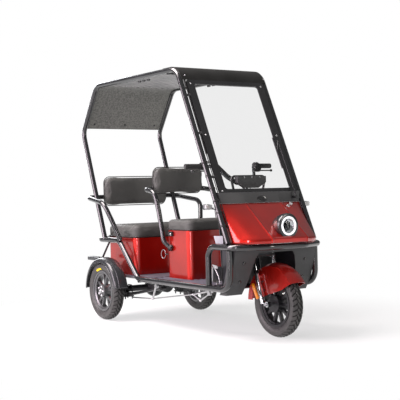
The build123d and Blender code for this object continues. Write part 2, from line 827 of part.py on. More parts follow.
def build_brake_linkage():
    y = -linkage_y
    middle_x = (rail_rear_x + floor_front_x) / 2
    hang_z = subframe_z - cross_tube / 2 - weld_gap
    span = hang_z - (tyre_radius - axle_tube)
    # Columns: place along the vehicle as a share of the distance from the axle to the neck,
    # and height as a share of the drop under the cross tubes
    rod_shares = ((0.15, 0.02), (0.38, 0.12), (0.80, 0.70), (0.87, 0.42), (0.98, 0.98))
    places = [(x * neck_x, y, hang_z - (1 - up) * span) for x, up in rod_shares]
    linkage = None
    for start, end in zip(places, places[1:]):
        bar = rod(start, end, linkage_rod) + Location(end) * Sphere(linkage_rod)
        linkage = bar if linkage is None else linkage + bar
    for place, cross_x in ((places[1], spring_front_length), (places[2], floor_front_x - cross_tube)):
        linkage += rod(place, (cross_x, y, hang_z), strut_tube)
        linkage += rod((cross_x, y - linkage_rod, hang_z - linkage_boss / 2),
                       (cross_x, y + linkage_rod, hang_z - linkage_boss / 2), linkage_boss)
    for cross_x in (spring_front_length, floor_front_x - cross_tube):
        linkage -= rod((cross_x, y - overrun, subframe_z), (cross_x, y + overrun, subframe_z),
                       cross_tube + 2 * weld_gap)
    return main_solid(linkage)


def channel_face(radius, half_width, crown, skirt, wall):
    """The section of a crowned fender, with the radius along +X and the axle along Y."""
    edge = radius - crown
    outer = ThreePointArc((edge, -half_width), (radius, 0), (edge, half_width))
    inner_half = half_width - wall
    inner = ThreePointArc((edge - wall, inner_half), (radius - wall, 0), (edge - wall, -inner_half))
    foot = edge - skirt
    lines = outer + Polyline((edge, half_width), (foot, half_width), (foot, inner_half), (edge - wall, inner_half))
    lines += inner + Polyline((edge - wall, -inner_half), (foot, -inner_half), (foot, -half_width), (edge, -half_width))
    return make_face(lines)


def wheel_fender(centre, section, start_deg, end_deg):
    """A section carried round part of a wheel, in degrees from straight ahead over the top."""
    face = Rot(0, -start_deg, 0) * section
    ring = revolve(face, axis=Axis((0, 0, 0), (0, -1, 0)), revolution_arc=end_deg - start_deg)
    return Location(centre) * ring


def build_rear_fenders():
    section = channel_face(rear_fender_radius + sheet, rear_fender_half, rear_fender_crown,
                           rear_fender_skirt, sheet)
    centre = (0, -rear_half_track, tyre_radius)
    return pair(wheel_fender(centre, section, rear_fender_start_deg, rear_fender_end_deg))


def build_front_fender():
    reach = front_fender_radius + sheet
    section = channel_face(reach, front_fender_half, front_fender_crown, front_fender_cheek, sheet)
    centre = (wheelbase, 0, tyre_radius)
    channel = wheel_fender(centre, section, front_fender_start_deg, front_fender_end_deg)
    # Side view: the flap, the narrow band behind the fork, the cheek down to the fork's
    # foot, its straight lower edge and the tip
    side_shares = (
        (-1.4, 0.045), (-0.744, 0.045), (-0.70, 0.42), (-0.60, 0.62), (-0.52, 0.64), (-0.30, 0.157),
        (0.437, 0.378), (0.87, 0.59), (1.4, 0.70), (1.4, 1.4), (-1.4, 1.4))
    outline = [(wheelbase + x * reach, tyre_radius + z * reach) for x, z in side_shares]
    return main_solid(channel & side_plate(outline, -2 * front_fender_half, 2 * front_fender_half))


def build_tail_lamps():
    y = -rear_half_track
    z_low = tyre_radius + rear_fender_radius - lamp_tail_height
    lamp = block(-rear_fender_radius, -rear_fender_radius + lamp_tail_length, y - lamp_tail_width / 2,
                 y + lamp_tail_width / 2, z_low, z_low + lamp_tail_height)
    lamp = fillet(lamp.edges(), lamp_tail_round)
    reach = rear_fender_radius + sheet + seat_gap
    lamp -= rod((0, y - overrun, tyre_radius), (0, y + overrun, tyre_radius), 2 * reach)
    return pair(main_solid(lamp))


def build_turn_signals():
    x = wheelbase - signal_setback
    y = canopy_half_width + signal_out
    lens = rod((x - signal_depth / 2, y, signal_z), (x + signal_depth / 2, y, signal_z), signal_size)
    stalk = rod((x, y, signal_z), (post_x(signal_z), canopy_half_width, signal_z), signal_stalk)
    return pair(main_solid(lens + stalk - post(1, canopy_tube + 2 * weld_gap)))


def build_dash():
    top_z = dash_foot_z + dash_hoop_rise
    x = windshield_x(top_z) - dash_behind
    half = [(x, dash_foot_half, dash_foot_z, None), (x, dash_hoop_half, top_z, dash_hoop_bend)]
    frame = hoop(half, dash_hoop_tube)
    tube_x = post_x(dash_tube_z)
    foot = rod((x, dash_foot_half, dash_foot_z), (tube_x, dash_foot_half, dash_tube_z), strut_tube)
    frame = main_solid(frame + pair(foot) - dash_tube(canopy_cross_tube + 2 * weld_gap))
    outline_shares = ((1.0, 0.0), (1.0, 0.53), (0.45, 1.0))
    half = [(pod_half_width * across, top_z - pod_height * down) for across, down in outline_shares]
    points = half + [(-y, z) for y, z in reversed(half)]
    face_x = x + dash_hoop_tube / 2 + seat_gap
    face = make_face(Polyline(*[(face_x, y, z) for y, z in points], close=True))
    return frame, extrude(face, amount=pod_depth, dir=(1, 0, 0))


def build_fork():
    y = fork_half_width
    top = crown_low + crown_thickness
    leg = rod(steer_point(0, y), steer_point(fork_lower_length, y), fork_lower_diameter)
    leg += rod(steer_point(fork_lower_length, y), steer_point(top, y), fork_upper_diameter)
    leg += rod((wheelbase, y - fork_lug_half, tyre_radius), (wheelbase, y + fork_lug_half, tyre_radius),
               fork_lug_diameter)
    leg += rod(steer_point(fork_foot_rise, y), (wheelbase, y, tyre_radius), fork_foot_diameter)
    boss = steer_point(fork_lower_length - fender_boss_drop, y)
    leg += rod((boss[0], front_fender_half + seat_gap, boss[2]), boss, fender_boss_diameter)
    lean = radians(rake_deg)
    plane = Plane(origin=steer_point(crown_low), x_dir=(0, 1, 0), z_dir=(-sin(lean), 0, cos(lean)))
    fork = pair(leg) + extrude(plane * SlotOverall(2 * y + crown_depth, crown_depth), amount=crown_thickness)
    fork += rod(steer_point(top - crown_thickness / 2), steer_point(column_top), column_diameter)
    return fork + rod((wheelbase, -y, tyre_radius), (wheelbase, y, tyre_radius), axle_diameter)


def bar_point(back, out, up):
    """A place on the handlebar, as shares of its sweep, its half width and its rise."""
    x, _, z = steer_point(column_top)
    return (x - bar_setback - back * bar_sweep, out * bar_half_width, z + bar_lift + up * bar_rise)


def handlebar_tube(diameter):
    """The bar itself, or the space that it takes."""
    # Columns: back, out, up and the bend's radius as a share of the usual one
    row_shares = (
        (1.0, 1.0, 1.0, 0.0), (0.915, 0.603, 1.0, 1.0), (0.493, 0.441, 0.948, 1.0),
        (0.056, 0.318, 0.328, 1.0), (0.0, 0.118, 0.0, 0.8))
    half = [(*bar_point(back, out, up), bend * bar_bend) for back, out, up, bend in row_shares]
    return hoop(half, diameter)


def build_handlebar():
    stem = rod(steer_point(column_top + stem_clamp_height / 2), bar_point(0, 0, 0), stem_diameter)
    clamp = rod(steer_point(column_top + seat_gap), steer_point(column_top + stem_clamp_height), stem_clamp_diameter)
    return handlebar_tube(bar_diameter) + stem + clamp


def grip_line():
    """The grip's outer end and the unit direction towards it."""
    end = Vector(*bar_point(1.0, 1.0, 1.0))
    return end, (end - Vector(*bar_point(0.915, 0.603, 1.0))).normalized()


def build_grips():
    end, unit = grip_line()
    tip = end + unit * grip_end_wall
    start = tip - unit * grip_length
    return pair(rod(start, tip, grip_diameter) - rod(start - unit * overrun, end, bar_diameter))


def build_bar_controls():
    end, unit = grip_line()
    face = end - unit * (grip_length - grip_end_wall + seat_gap)
    inner = face - unit * switch_width
    body = rod(inner, face, switch_diameter)
    ahead = Vector(lever_reach, 0, -lever_drop)
    pivot = face - unit * switch_width / 2
    clamp = rod(pivot, pivot + ahead, 2 * lever_diameter)
    lever_end = end + ahead - unit * lever_reach / 2
    lever = rod(pivot + ahead, lever_end, lever_diameter) + Location(lever_end) * Sphere(lever_diameter)
    return pair(body + clamp + lever - handlebar_tube(bar_diameter + 2 * weld_gap))


def tyre():
    """A hollow tyre, its section drawn by straight runs from the bead to the crown."""
    half = tyre_width / 2
    depth = tyre_radius - bead_radius
    # Columns: radius above the bead as a share of the depth, half width as a share
    outer_shares = ((0.0, 0.66), (0.15, 0.66), (0.20, 0.76), (0.36, 0.93), (0.56, 1.0), (0.76, 0.94), (0.90, 0.66),
                    (0.98, 0.30), (1.0, 0.0))
    inner_shares = ((0.88, 0.34), (0.62, 0.76), (0.36, 0.72), (0.0, 0.42))
    right = [(bead_radius + up * depth, half * out) for up, out in outer_shares]
    left = [(radius, -y) for radius, y in reversed(right[:-1])]
    inner = [(bead_radius + up * depth, -half * out) for up, out in reversed(inner_shares)]
    back = [(radius, -y) for radius, y in reversed(inner)]
    face = make_face(Polyline(*[(radius, y, 0) for radius, y in right + left + inner + back], close=True))
    return revolve(face, axis=Axis.Y)


def rim(spoke_angles, hub_radius):
    """A cast rim with its lips, well, hub and spokes."""
    seat = bead_radius - seat_gap
    well = seat - rim_well_depth
    inner = seat - rim_wall
    half = bead_half_width + seat_gap
    lip_half = half + rim_lip_width
    right = [
        (well, rim_well_half), (seat, rim_well_half + rim_wall), (seat, half), (seat + rim_lip_height, half),
        (seat + rim_lip_height, lip_half), (inner, lip_half), (inner, rim_well_half + 2 * rim_wall),
        (well - rim_wall, rim_well_half + rim_wall / 2),
    ]
    left = [(radius, -y) for radius, y in reversed(right)]
    wheel = revolve(make_face(Polyline(*[(r, y, 0) for r, y in right + left], close=True)), axis=Axis.Y)
    wheel += rod((0, -hub_half_width, 0), (0, hub_half_width, 0), 2 * hub_radius)
    start_r = hub_radius - rim_wall
    end_r = well - rim_wall / 2
    for start_deg, end_deg in spoke_angles:
        a = Vector(start_r * cos(radians(start_deg)), 0, start_r * sin(radians(start_deg)))
        b = Vector(end_r * cos(radians(end_deg)), 0, end_r * sin(radians(end_deg)))
        plane = Plane(origin=a, x_dir=(0, 1, 0), z_dir=(b - a).normalized())
        wheel += extrude(plane * Rectangle(spoke_depth, spoke_width), amount=(b - a).length)
    reach = hub_half_width + overrun
    return wheel - rod((0, -reach, 0), (0, reach, 0), axle_diameter + 2 * pin_gap)


def build_battery():
    z_low = floor_top_z + box_wall
    middle_x = (rear_box_rear_x + rear_box_front_x) / 2
    return block(middle_x - battery_length / 2, middle_x + battery_length / 2, -battery_width / 2,
                 battery_width / 2, z_low, z_low + battery_height)


def build_wiper():
    lean = radians(windshield_lean())
    hinge_z = wiper_z + wiper_arm_length * cos(lean)
    hinge = (windshield_x(hinge_z) + wiper_lift, wiper_y, hinge_z)
    pivot = (windshield_x(wiper_z) + wiper_lift, wiper_y, wiper_z)
    arm = rod(pivot, hinge, wiper_arm_diameter) + wiper_spindle(wiper_spindle_diameter)
    blade_y = wiper_y - wiper_lift
    high_z = hinge_z + 2 * wiper_arm_diameter
    low_z = high_z - wiper_blade_length * cos(lean)
    lift = wiper_blade_diameter / 2 / cos(lean) + seat_gap
    blade = rod((windshield_x(low_z) + lift, blade_y, low_z), (windshield_x(high_z) + lift, blade_y, high_z),
                wiper_blade_diameter)
    middle_z = (low_z + high_z) / 2
    return arm + blade + rod(hinge, (windshield_x(middle_z) + lift, blade_y, middle_z), wiper_arm_diameter)


def build_brake_pedal():
    x = wheelbase - pedal_setback
    z = floor_top_z + pedal_rise
    tread = block(x - pedal_thickness / 2, x + pedal_thickness / 2, -pedal_y - pedal_width / 2,
                  -pedal_y + pedal_width / 2, z, z + pedal_height)
    tread = fillet(tread.edges().filter_by(Axis.X), pedal_rise)
    foot = rod((x, -pedal_y, z + pedal_rise), (x, -pedal_y, floor_top_z + seat_gap), strut_tube)
    return tread + foot


def build_seat_latch():
    y = front_box_half_width + seat_gap
    x_low = front_box_rear_x + box_corner - pedal_rise
    z_high = front_box_top - latch_drop
    return block(x_low, x_low + latch_length, -y - latch_depth, -y, z_high - latch_height, z_high)


def build_all():
    border, glass = build_windshield()
    housing, lens = build_headlamp()
    dash_hoop, pod = build_dash()
    front_angles = [(i * 360.0 / front_spokes,) * 2 for i in range(front_spokes)]
    rear_angles = []
    for i in range(rear_spoke_pairs):
        middle = 90.0 + i * 360.0 / rear_spoke_pairs
        rear_angles += [(middle, middle - pair_spread_deg), (middle, middle + pair_spread_deg)]
    pieces = {
        "main_frame": build_main_frame(),
        "floor_frame": build_floor_frame(),
        "neck_frame": build_neck_frame(),
        "bumper_bar": bumper_loop(main_tube),
        "canopy_frame": build_canopy_frame(),
        "roof_panel": build_roof_panel(),
        "roof_fascia": build_roof_fascia(),
        "rear_canopy_panel": build_rear_canopy_panel(),
        "windshield_border": border,
        "windshield_glass": glass,
        "lower_fascia": build_lower_fascia(),
        "hood": build_hood(),
        "headlamp_housing": housing,
        "headlamp_lens": lens,
        "front_shield": build_front_shield(),
        "footwell_panel": build_footwell_panel(),
        "dash_hoop": dash_hoop,
        "instrument_pod": pod,
        "floor_pan": build_floor_pan(),
        "rear_floor_mat": build_rear_floor_mat(),
        "front_seat_box": seat_box(front_box_rear_x, front_box_front_x, front_box_half_width, front_box_top),
        "rear_seat_box": seat_box(rear_box_rear_x, rear_box_front_x, rear_box_half_width, rear_box_top),
        "battery_block": build_battery(),
        "front_seatback": seatback(front_back_rear_x, front_box_half_width, front_back_low, front_back_height),
        "rear_seatback": seatback(rear_back_rear_x, rear_box_half_width, rear_back_low, rear_back_height),
        "front_armrests": build_front_armrests(),
        "rear_armrests": build_rear_armrests(),
        "rear_axle": build_rear_axle(),
        "drive_motor": build_drive_motor(),
        "leaf_springs": build_leaf_springs(),
        "brake_linkage": build_brake_linkage(),
        "rear_fenders": build_rear_fenders(),
        "tail_lamps": build_tail_lamps(),
        "turn_signals": build_turn_signals(),
        "brake_pedal": build_brake_pedal(),
        "wiper": build_wiper(),
        "seat_latch": build_seat_latch(),
        "front_seat_cushion": seat_cushion(front_box_rear_x, front_box_front_x, front_box_half_width,
                                           front_box_top, front_cushion_height),
        "rear_seat_cushion": seat_cushion(rear_box_rear_x, rear_box_front_x, rear_box_half_width,
                                          rear_box_top, rear_cushion_height),
        "front_fork": build_fork(),
        "front_fender": build_front_fender(),
        "handlebar": build_handlebar(),
        "handlebar_grips": build_grips(),
        "handlebar_controls": build_bar_controls(),
    }
    one_tyre = tyre()
    rear_rim = rim(rear_angles, rear_hub_radius)
    wheels = (
        ("front", wheelbase, 0, rim(front_angles, front_hub_radius)),
        ("rear_right", 0, -rear_half_track, rear_rim),
        ("rear_left", 0, rear_half_track, rear_rim),
    )
    for name, x, y, wheel_rim in wheels:
        place = Location((x, y, tyre_radius))
        pieces[name + "_tyre"] = place * one_tyre
        pieces[name + "_rim"] = place * wheel_rim
    return pieces


def main():
    pieces = build_all()
    boxes = [piece.bounding_box() for piece in pieces.values()]
    middle_x = (min(box.min.X for box in boxes) + max(box.max.X for box in boxes)) / 2
    print("middle_x", middle_x)
    os.makedirs("parts", exist_ok=True)
    for name, piece in pieces.items():
        print(name, len(piece.solids()), round(piece.volume))
        export_step(Pos(-middle_x, 0, 0) * piece, "parts/" + name + ".step")


main()
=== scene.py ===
"""Looks of an electric tricycle: finishes, soft seats, tyres, lamps and small parts.

Every piece is in metres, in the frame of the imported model: +X forward, +Y to the left,
+Z up, with the origin on the ground under the middle of the vehicle.
"""

from __future__ import annotations

import json
import logging
import math
from dataclasses import dataclass
from enum import Enum

import bmesh
import bpy
import numpy as np
from mathutils import Matrix, Vector


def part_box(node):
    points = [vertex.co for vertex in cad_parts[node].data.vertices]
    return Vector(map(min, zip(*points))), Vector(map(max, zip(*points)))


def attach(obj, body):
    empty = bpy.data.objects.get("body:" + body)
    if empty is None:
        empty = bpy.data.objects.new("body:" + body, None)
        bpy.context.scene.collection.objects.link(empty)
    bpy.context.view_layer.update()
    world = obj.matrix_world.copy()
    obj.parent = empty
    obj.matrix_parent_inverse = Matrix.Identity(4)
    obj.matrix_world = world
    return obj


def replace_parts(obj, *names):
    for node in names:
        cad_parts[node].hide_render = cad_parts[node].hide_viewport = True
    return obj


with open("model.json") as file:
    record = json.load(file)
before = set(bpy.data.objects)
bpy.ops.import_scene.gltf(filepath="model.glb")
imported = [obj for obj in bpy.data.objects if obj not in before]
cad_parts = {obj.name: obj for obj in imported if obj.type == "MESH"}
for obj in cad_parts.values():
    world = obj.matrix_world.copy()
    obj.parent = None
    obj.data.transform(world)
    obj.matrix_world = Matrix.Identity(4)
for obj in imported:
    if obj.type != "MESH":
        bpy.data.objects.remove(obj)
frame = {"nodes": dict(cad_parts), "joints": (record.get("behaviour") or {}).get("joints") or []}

log = logging.getLogger("tricycle")

Arrays = tuple[np.ndarray, list[np.ndarray]]
Point = tuple[float, float, float]
Table = tuple[tuple[float, ...], ...]



def joint_place(name: str) -> list[float]:
    """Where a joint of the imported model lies."""
    return next(joint["pos_m"] for joint in frame["joints"] if joint["name"] == name)


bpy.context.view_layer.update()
REAR_AXLE_X = joint_place("rear_right_wheel_spin")[0]
FRONT_AXLE_X, _, AXLE_Z = joint_place("front_wheel_spin")
MILLIMETRE = 0.001
# Mesh attribute with each point's share of the groove depth; the finish paints shade into the grooves by it.
GROOVE_SHADE_ATTRIBUTE = "groove"
CHASSIS, STEERING = "chassis", "steering"
SIDES = (-1.0, 1.0)
HALF_TRACK = 404.0
X_WAY, Y_WAY, Z_WAY = np.eye(3)
NEARLY_UPRIGHT = 0.8
NEARLY_PARALLEL = 0.2
LEAST_CORNER = 0.012
CORNER_LOSS = 0.6
TONE_STOPS = (0.35, 0.65)
GLOSS_DRIFT = 0.15


def from_axle(x: float, y: float, z: float) -> np.ndarray:
    """A place given in millimetres from the rear axle line on the ground."""
    return np.array([x * MILLIMETRE + REAR_AXLE_X, y * MILLIMETRE, z * MILLIMETRE])


def places(rows: list[tuple[float, ...]]) -> np.ndarray:
    """Rows of x, y, z in millimetres from the rear axle line, as frame points in metres."""
    return np.array(rows, float) * MILLIMETRE + np.array([REAR_AXLE_X, 0.0, 0.0])


def unit(vectors: np.ndarray) -> np.ndarray:
    """Vectors scaled to length one along their last axis."""
    return vectors / np.linalg.norm(vectors, axis=-1, keepdims=True)


def circle(count: int) -> np.ndarray:
    """Angles at even steps round a circle, from zero."""
    return np.linspace(0.0, 2 * math.pi, count, endpoint=False)


def square_pair(axes: np.ndarray) -> tuple[np.ndarray, np.ndarray]:
    """Two unit directions square to each unit axis and to each other."""
    helper = np.where(np.abs(axes[..., 2:3]) < NEARLY_UPRIGHT, Z_WAY, Y_WAY)
    side = unit(np.cross(helper, axes))
    return side, np.cross(axes, side)


# Surfaces as whole arrays


def grid_faces(rows: int, columns: int, wrap_rows: bool = False, wrap_columns: bool = False) -> np.ndarray:
    """Quads between neighbouring points of a grid.

    Face (i, j) joins the points (i, j), (i, j+1), (i+1, j+1) and (i+1, j), with the
    indices taken modulo the grid's size where a direction is closed.

    Args:
        rows: number of points along the first direction.
        columns: number of points along the second direction.
        wrap_rows: whether the last row joins the first.
        wrap_columns: whether the last column joins the first.

    Returns:
        An array of faces with four indices each.
    """
    i = np.arange(rows if wrap_rows else rows - 1)[:, None]
    j = np.arange(columns if wrap_columns else columns - 1)[None, :]
    i, j = np.broadcast_arrays(i, j)
    below, beside = (i + 1) % rows, (j + 1) % columns
    quads = [i * columns + j, i * columns + beside, below * columns + beside, below * columns + j]
    return np.stack(quads, axis=-1).reshape(-1, 4)


def join(parts: list[Arrays]) -> Arrays:
    """Several surfaces as one, each one's indices moved past those before it."""
    starts = np.cumsum([0] + [len(points) for points, _ in parts])
    faces = [face + start for (_, group), start in zip(parts, starts) for face in group]
    return np.concatenate([points for points, _ in parts]), faces


def capped_rings(rings: np.ndarray) -> Arrays:
    """A closed skin over a stack of closed rings, with a fan to a middle point at each end.

    Args:
        rings: points as (ring, place round the ring, xyz).

    Returns:
        The points and faces of the skin.
    """
    count, around = rings.shape[:2]
    points = np.concatenate([rings.reshape(-1, 3), rings[[0, -1]].mean(axis=1)])
    side = grid_faces(count, around, wrap_columns=True)
    j = np.arange(around)
    after = (j + 1) % around
    first, last = np.full(around, count * around), np.full(around, count * around + 1)
    top = (count - 1) * around
    low_fan = np.stack([after, j, first], axis=-1)
    high_fan = np.stack([j + top, after + top, last], axis=-1)
    return points, [side, low_fan, high_fan]


def path_frames(path: np.ndarray) -> tuple[np.ndarray, np.ndarray]:
    """Two unit directions square to a path at each of its points.

    The tangent is the difference of the neighbours. The first direction starts square
    to the tangent and, at each next point, loses its part along the new tangent, so the
    frames don't spin.

    Args:
        path: points along the path.

    Returns:
        The two directions, one row for each point.
    """
    tangent = unit(np.gradient(path, axis=0))
    start = np.cross(tangent[0], Z_WAY)
    if np.linalg.norm(start) < NEARLY_PARALLEL:
        start = np.cross(tangent[0], Y_WAY)
    across = [unit(start)]
    for way in tangent[1:]:
        across.append(unit(across[-1] - way * np.dot(across[-1], way)))
    across = np.array(across)
    return across, np.cross(tangent, across)


def tube(path: np.ndarray, radius: float, sides: int) -> Arrays:
    """A round bar: a circle carried along a path.

    A point is path + radius * (cos(a) * first direction + sin(a) * second direction).

    Args:
        path: points along the middle of the bar.
        radius: half the bar's thickness.
        sides: points round the circle.

    Returns:
        The points and faces, closed at both ends.
    """
    across, up = path_frames(path)
    angle = circle(sides)[None, :, None]
    rings = path[:, None] + radius * (np.cos(angle) * across[:, None] + np.sin(angle) * up[:, None])
    return capped_rings(rings)


def smooth_path(points: np.ndarray, steps: int = 8) -> np.ndarray:
    """A smooth line through points: on each stretch a cubic whose slopes at its ends are
    half the differences of the neighbours.

    Args:
        points: places that the line passes through.
        steps: points on each stretch.

    Returns:
        The points along the line.
    """
    padded = np.concatenate([2 * points[:1] - points[1:2], points, 2 * points[-1:] - points[-2:-1]])
    p0, p1, p2, p3 = padded[:-3, None], padded[1:-2, None], padded[2:-1, None], padded[3:, None]
    t = np.linspace(0.0, 1.0, steps, endpoint=False)[None, :, None]
    line = p1 + t * (p2 - p0) / 2 + t**2 * (p0 - 2.5 * p1 + 2 * p2 - p3 / 2)
    line = line + t**3 * (1.5 * (p1 - p2) + (p3 - p0) / 2)
    return np.concatenate([line.reshape(-1, points.shape[1]), points[-1:]])


def turned(profile: np.ndarray, centre: np.ndarray, axis: np.ndarray, sides: int) -> Arrays:
    """A profile turned about an axis into a closed shape.

    A point is centre + height * axis + radius * (cos(a) * side + sin(a) * other side).

    Args:
        profile: rows of radius and height; the two ends are closed by fans.
        centre: a place on the axis.
        axis: the direction of the axis.
        sides: points round the axis.

    Returns:
        The points and faces.
    """
    axis = unit(axis)
    side, other = square_pair(axis)
    angle = circle(sides)[None, :, None]
    radius, height = profile[:, 0][:, None, None], profile[:, 1][:, None, None]
    rings = centre + height * axis + radius * (np.cos(angle) * side + np.sin(angle) * other)
    return capped_rings(rings)


def turned_ring(profile: np.ndarray, centre: np.ndarray, axis: np.ndarray, sides: int) -> Arrays:
    """A closed profile turned about an axis into a ring.

    Args:
        profile: rows of radius and height round a closed outline.
        centre: a place on the axis.
        axis: the direction of the axis.
        sides: points round the axis.

    Returns:
        The points and faces.
    """
    points, _ = turned(profile, centre, axis, sides)
    points = points[:-2]
    return points, [grid_faces(len(profile), sides, wrap_rows=True, wrap_columns=True)]


def domes(centres: np.ndarray, axes: np.ndarray, radius: float, height: float, sides: int = 10) -> Arrays:
    """Low round heads, all at once: rings of a half ellipse at each centre.

    Args:
        centres: the middle of each head's foot.
        axes: the way each head points.
        radius: radius of the foot.
        height: height of the top.
        sides: points round each head.

    Returns:
        The points and faces of all the heads.
    """
    axes = unit(axes)
    side, other = square_pair(axes)
    rise = np.array([-0.3, 0.35, 0.75, 1.0])
    width = np.array([1.0, 1.0, 0.8, 0.35])
    angle = circle(sides)[None, :, None]
    ring = (np.cos(angle) * side[:, None] + np.sin(angle) * other[:, None]) * radius
    rings = centres[:, None, None] + width[None, :, None, None] * ring[:, None]
    rings = rings + (rise * height)[None, :, None, None] * axes[:, None, None]
    return join([capped_rings(one) for one in rings])


def rounded_outline(
        half_width: float, half_height: float, radius: float, arc_steps: int, run_steps: int) -> np.ndarray:
    """A rounded rectangle as points in order, anticlockwise.

    Each corner is a quarter circle about a centre that lies a radius inside both sides,
    and each straight side is divided evenly.

    Args:
        half_width: half the size along the first direction.
        half_height: half the size along the second direction.
        radius: corner radius.
        arc_steps: points on each corner.
        run_steps: points on each straight side.

    Returns:
        The points as rows of two values.
    """
    turn = np.linspace(0.0, math.pi / 2, arc_steps)
    quarter = np.stack([np.cos(turn), np.sin(turn)], axis=-1)
    signs = np.array([[1, 1], [-1, 1], [-1, -1], [1, -1]], float)
    centres = signs * [half_width - radius, half_height - radius]
    quarters = [quarter, quarter[::-1] * [-1, 1], quarter * [-1, -1], quarter[::-1] * [1, -1]]
    arcs = [centre + radius * one for centre, one in zip(centres, quarters)]
    share = np.linspace(0.0, 1.0, run_steps + 2)[1:-1, None]
    pieces = [np.concatenate([a, a[-1] + share * (b[0] - a[-1])]) for a, b in zip(arcs, arcs[1:] + arcs[:1])]
    return np.concatenate(pieces)


def block(steps: list[Point], corner: float, ways: tuple[np.ndarray, ...], middle: Point,
          divisions: tuple[int, int]) -> Arrays:
    """A rounded block: rounded rectangles stacked up, in millimetres from the rear axle line.

    A point is middle + width * ways[0] + length * ways[1] + height * ways[2].

    Args:
        steps: rows of half width, half length and height.
        corner: corner radius.
        ways: the directions of width, length and height.
        middle: the block's middle at height zero.
        divisions: points on each corner and on each straight side.

    Returns:
        The points and faces.
    """
    rings = []
    for width, length, height in steps:
        flat = rounded_outline(width, length, corner, *divisions)
        rings.append(np.column_stack([flat, np.full(len(flat), height)]))
    return capped_rings(places(np.array(rings) @ np.array(ways) + middle))


def plate(outline: list[Point], shift: Point) -> Arrays:
    """A thin plate: a flat outline in millimetres from the rear axle line, and its shifted copy."""
    rows = np.array(outline, float)
    return capped_rings(places([rows, rows + shift]))


def cushion_rings(half: tuple[float, float], corner: float, steps: np.ndarray, turn: Matrix,
                  centre: np.ndarray) -> Arrays:
    """A cushion: rounded rectangles stacked up, each inset from the widest.

    Args:
        half: half the width and half the length of the widest ring.
        corner: corner radius of the widest ring.
        steps: rows of inset and height.
        turn: turns the cushion's width, length and height into the frame's directions.
        centre: the cushion's middle at height zero.

    Returns:
        The points and faces.
    """
    rings = []
    for inset, height in steps:
        rounding = max(corner - inset * CORNER_LOSS, LEAST_CORNER)
        outline = rounded_outline(half[0] - inset, half[1] - inset, rounding, 9, 12)
        rings.append(np.column_stack([outline, np.full(len(outline), height)]))
    rings = np.array(rings) @ np.array(turn.to_3x3()).T + centre
    return capped_rings(rings)


def make_object(name: str, shape: Arrays, smooth_angle: float = 40.0) -> bpy.types.Object:
    """Puts points and faces into a new object.

    Args:
        name: the piece's name.
        shape: the points and groups of faces.
        smooth_angle: edges that turn by more degrees than this stay sharp.

    Returns:
        The new object, at the origin.
    """
    points, groups = shape
    corners = np.concatenate([faces.ravel() for faces in groups]).astype(np.int32)
    totals = np.concatenate([np.full(len(faces), faces.shape[1]) for faces in groups]).astype(np.int32)
    mesh = bpy.data.meshes.new(name)
    mesh.vertices.add(len(points))
    mesh.vertices.foreach_set("co", points.astype(np.float32).ravel())
    mesh.loops.add(len(corners))
    mesh.loops.foreach_set("vertex_index", corners)
    mesh.polygons.add(len(totals))
    mesh.polygons.foreach_set("loop_start", np.concatenate([[0], np.cumsum(totals)[:-1]]).astype(np.int32))
    mesh.update(calc_edges=True)
    mesh.validate()
    outward(mesh)
    shade(mesh, smooth_angle)
    made = bpy.data.objects.new(name, mesh)
    bpy.context.scene.collection.objects.link(made)
    return made


def outward(mesh: bpy.types.Mesh) -> None:
    """Turns the faces of a mesh outwards."""
    work = bmesh.new()
    work.from_mesh(mesh)
    bmesh.ops.recalc_face_normals(work, faces=work.faces)
    work.to_mesh(mesh)
    work.free()


def shade(mesh: bpy.types.Mesh, smooth_angle: float) -> None:
    """Smooth shading, apart from edges that turn by more than smooth_angle degrees."""
    mesh.polygons.foreach_set("use_smooth", np.ones(len(mesh.polygons), bool))
    mesh.set_sharp_from_angle(angle=math.radians(smooth_angle))


def finish_piece(piece: bpy.types.Object, finish: Finish, body: str) -> bpy.types.Object:
    """Gives a piece its finish, lets it ride on its body and reports it.

    Args:
        piece: the object, in place.
        finish: what its surface is.
        body: the body of the frame that it moves with.

    Returns:
        The same object.
    """
    piece.data.materials.clear()
    piece.data.materials.append(finish.material())
    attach(piece, body)
    log.info("%s on %s, %d faces", piece.name, body, len(piece.data.polygons))
    return piece


def add_piece(name: str, shape: Arrays, finish: Finish, smooth_angle: float = 40.0,
              body: str = CHASSIS) -> bpy.types.Object:
    """Makes an object from points and faces and gives it its finish and body.

    Args:
        name: the piece's name.
        shape: the points and groups of faces.
        finish: what its surface is.
        smooth_angle: edges that turn by more degrees than this stay sharp.
        body: the body of the frame that it moves with.

    Returns:
        The new object.
    """
    return finish_piece(make_object(name, shape, smooth_angle), finish, body)


def thicken(piece: bpy.types.Object, thickness: float) -> None:
    """Gives an open skin a wall on its inner side."""
    wall = piece.modifiers.new("wall", "SOLIDIFY")
    wall.thickness, wall.offset = thickness, -1.0


# Finishes


def colour_ramp(nodes: bpy.types.Nodes, stops: tuple[tuple[float, Point], ...]) -> bpy.types.Node:
    """A colour ramp with two stops, each a position and a colour."""
    ramp = nodes.new("ShaderNodeValToRGB")
    for element, (position, colour) in zip(ramp.color_ramp.elements, stops):
        element.position, element.color = position, (*colour, 1.0)
    return ramp


class Grain(Enum):
    """The fine relief of a surface."""

    SMOOTH = "smooth"
    PAINT = "paint"
    LEATHER = "leather"
    FELT = "felt"
    MOULDED = "moulded"
    CAST = "cast"
    RUBBER = "rubber"


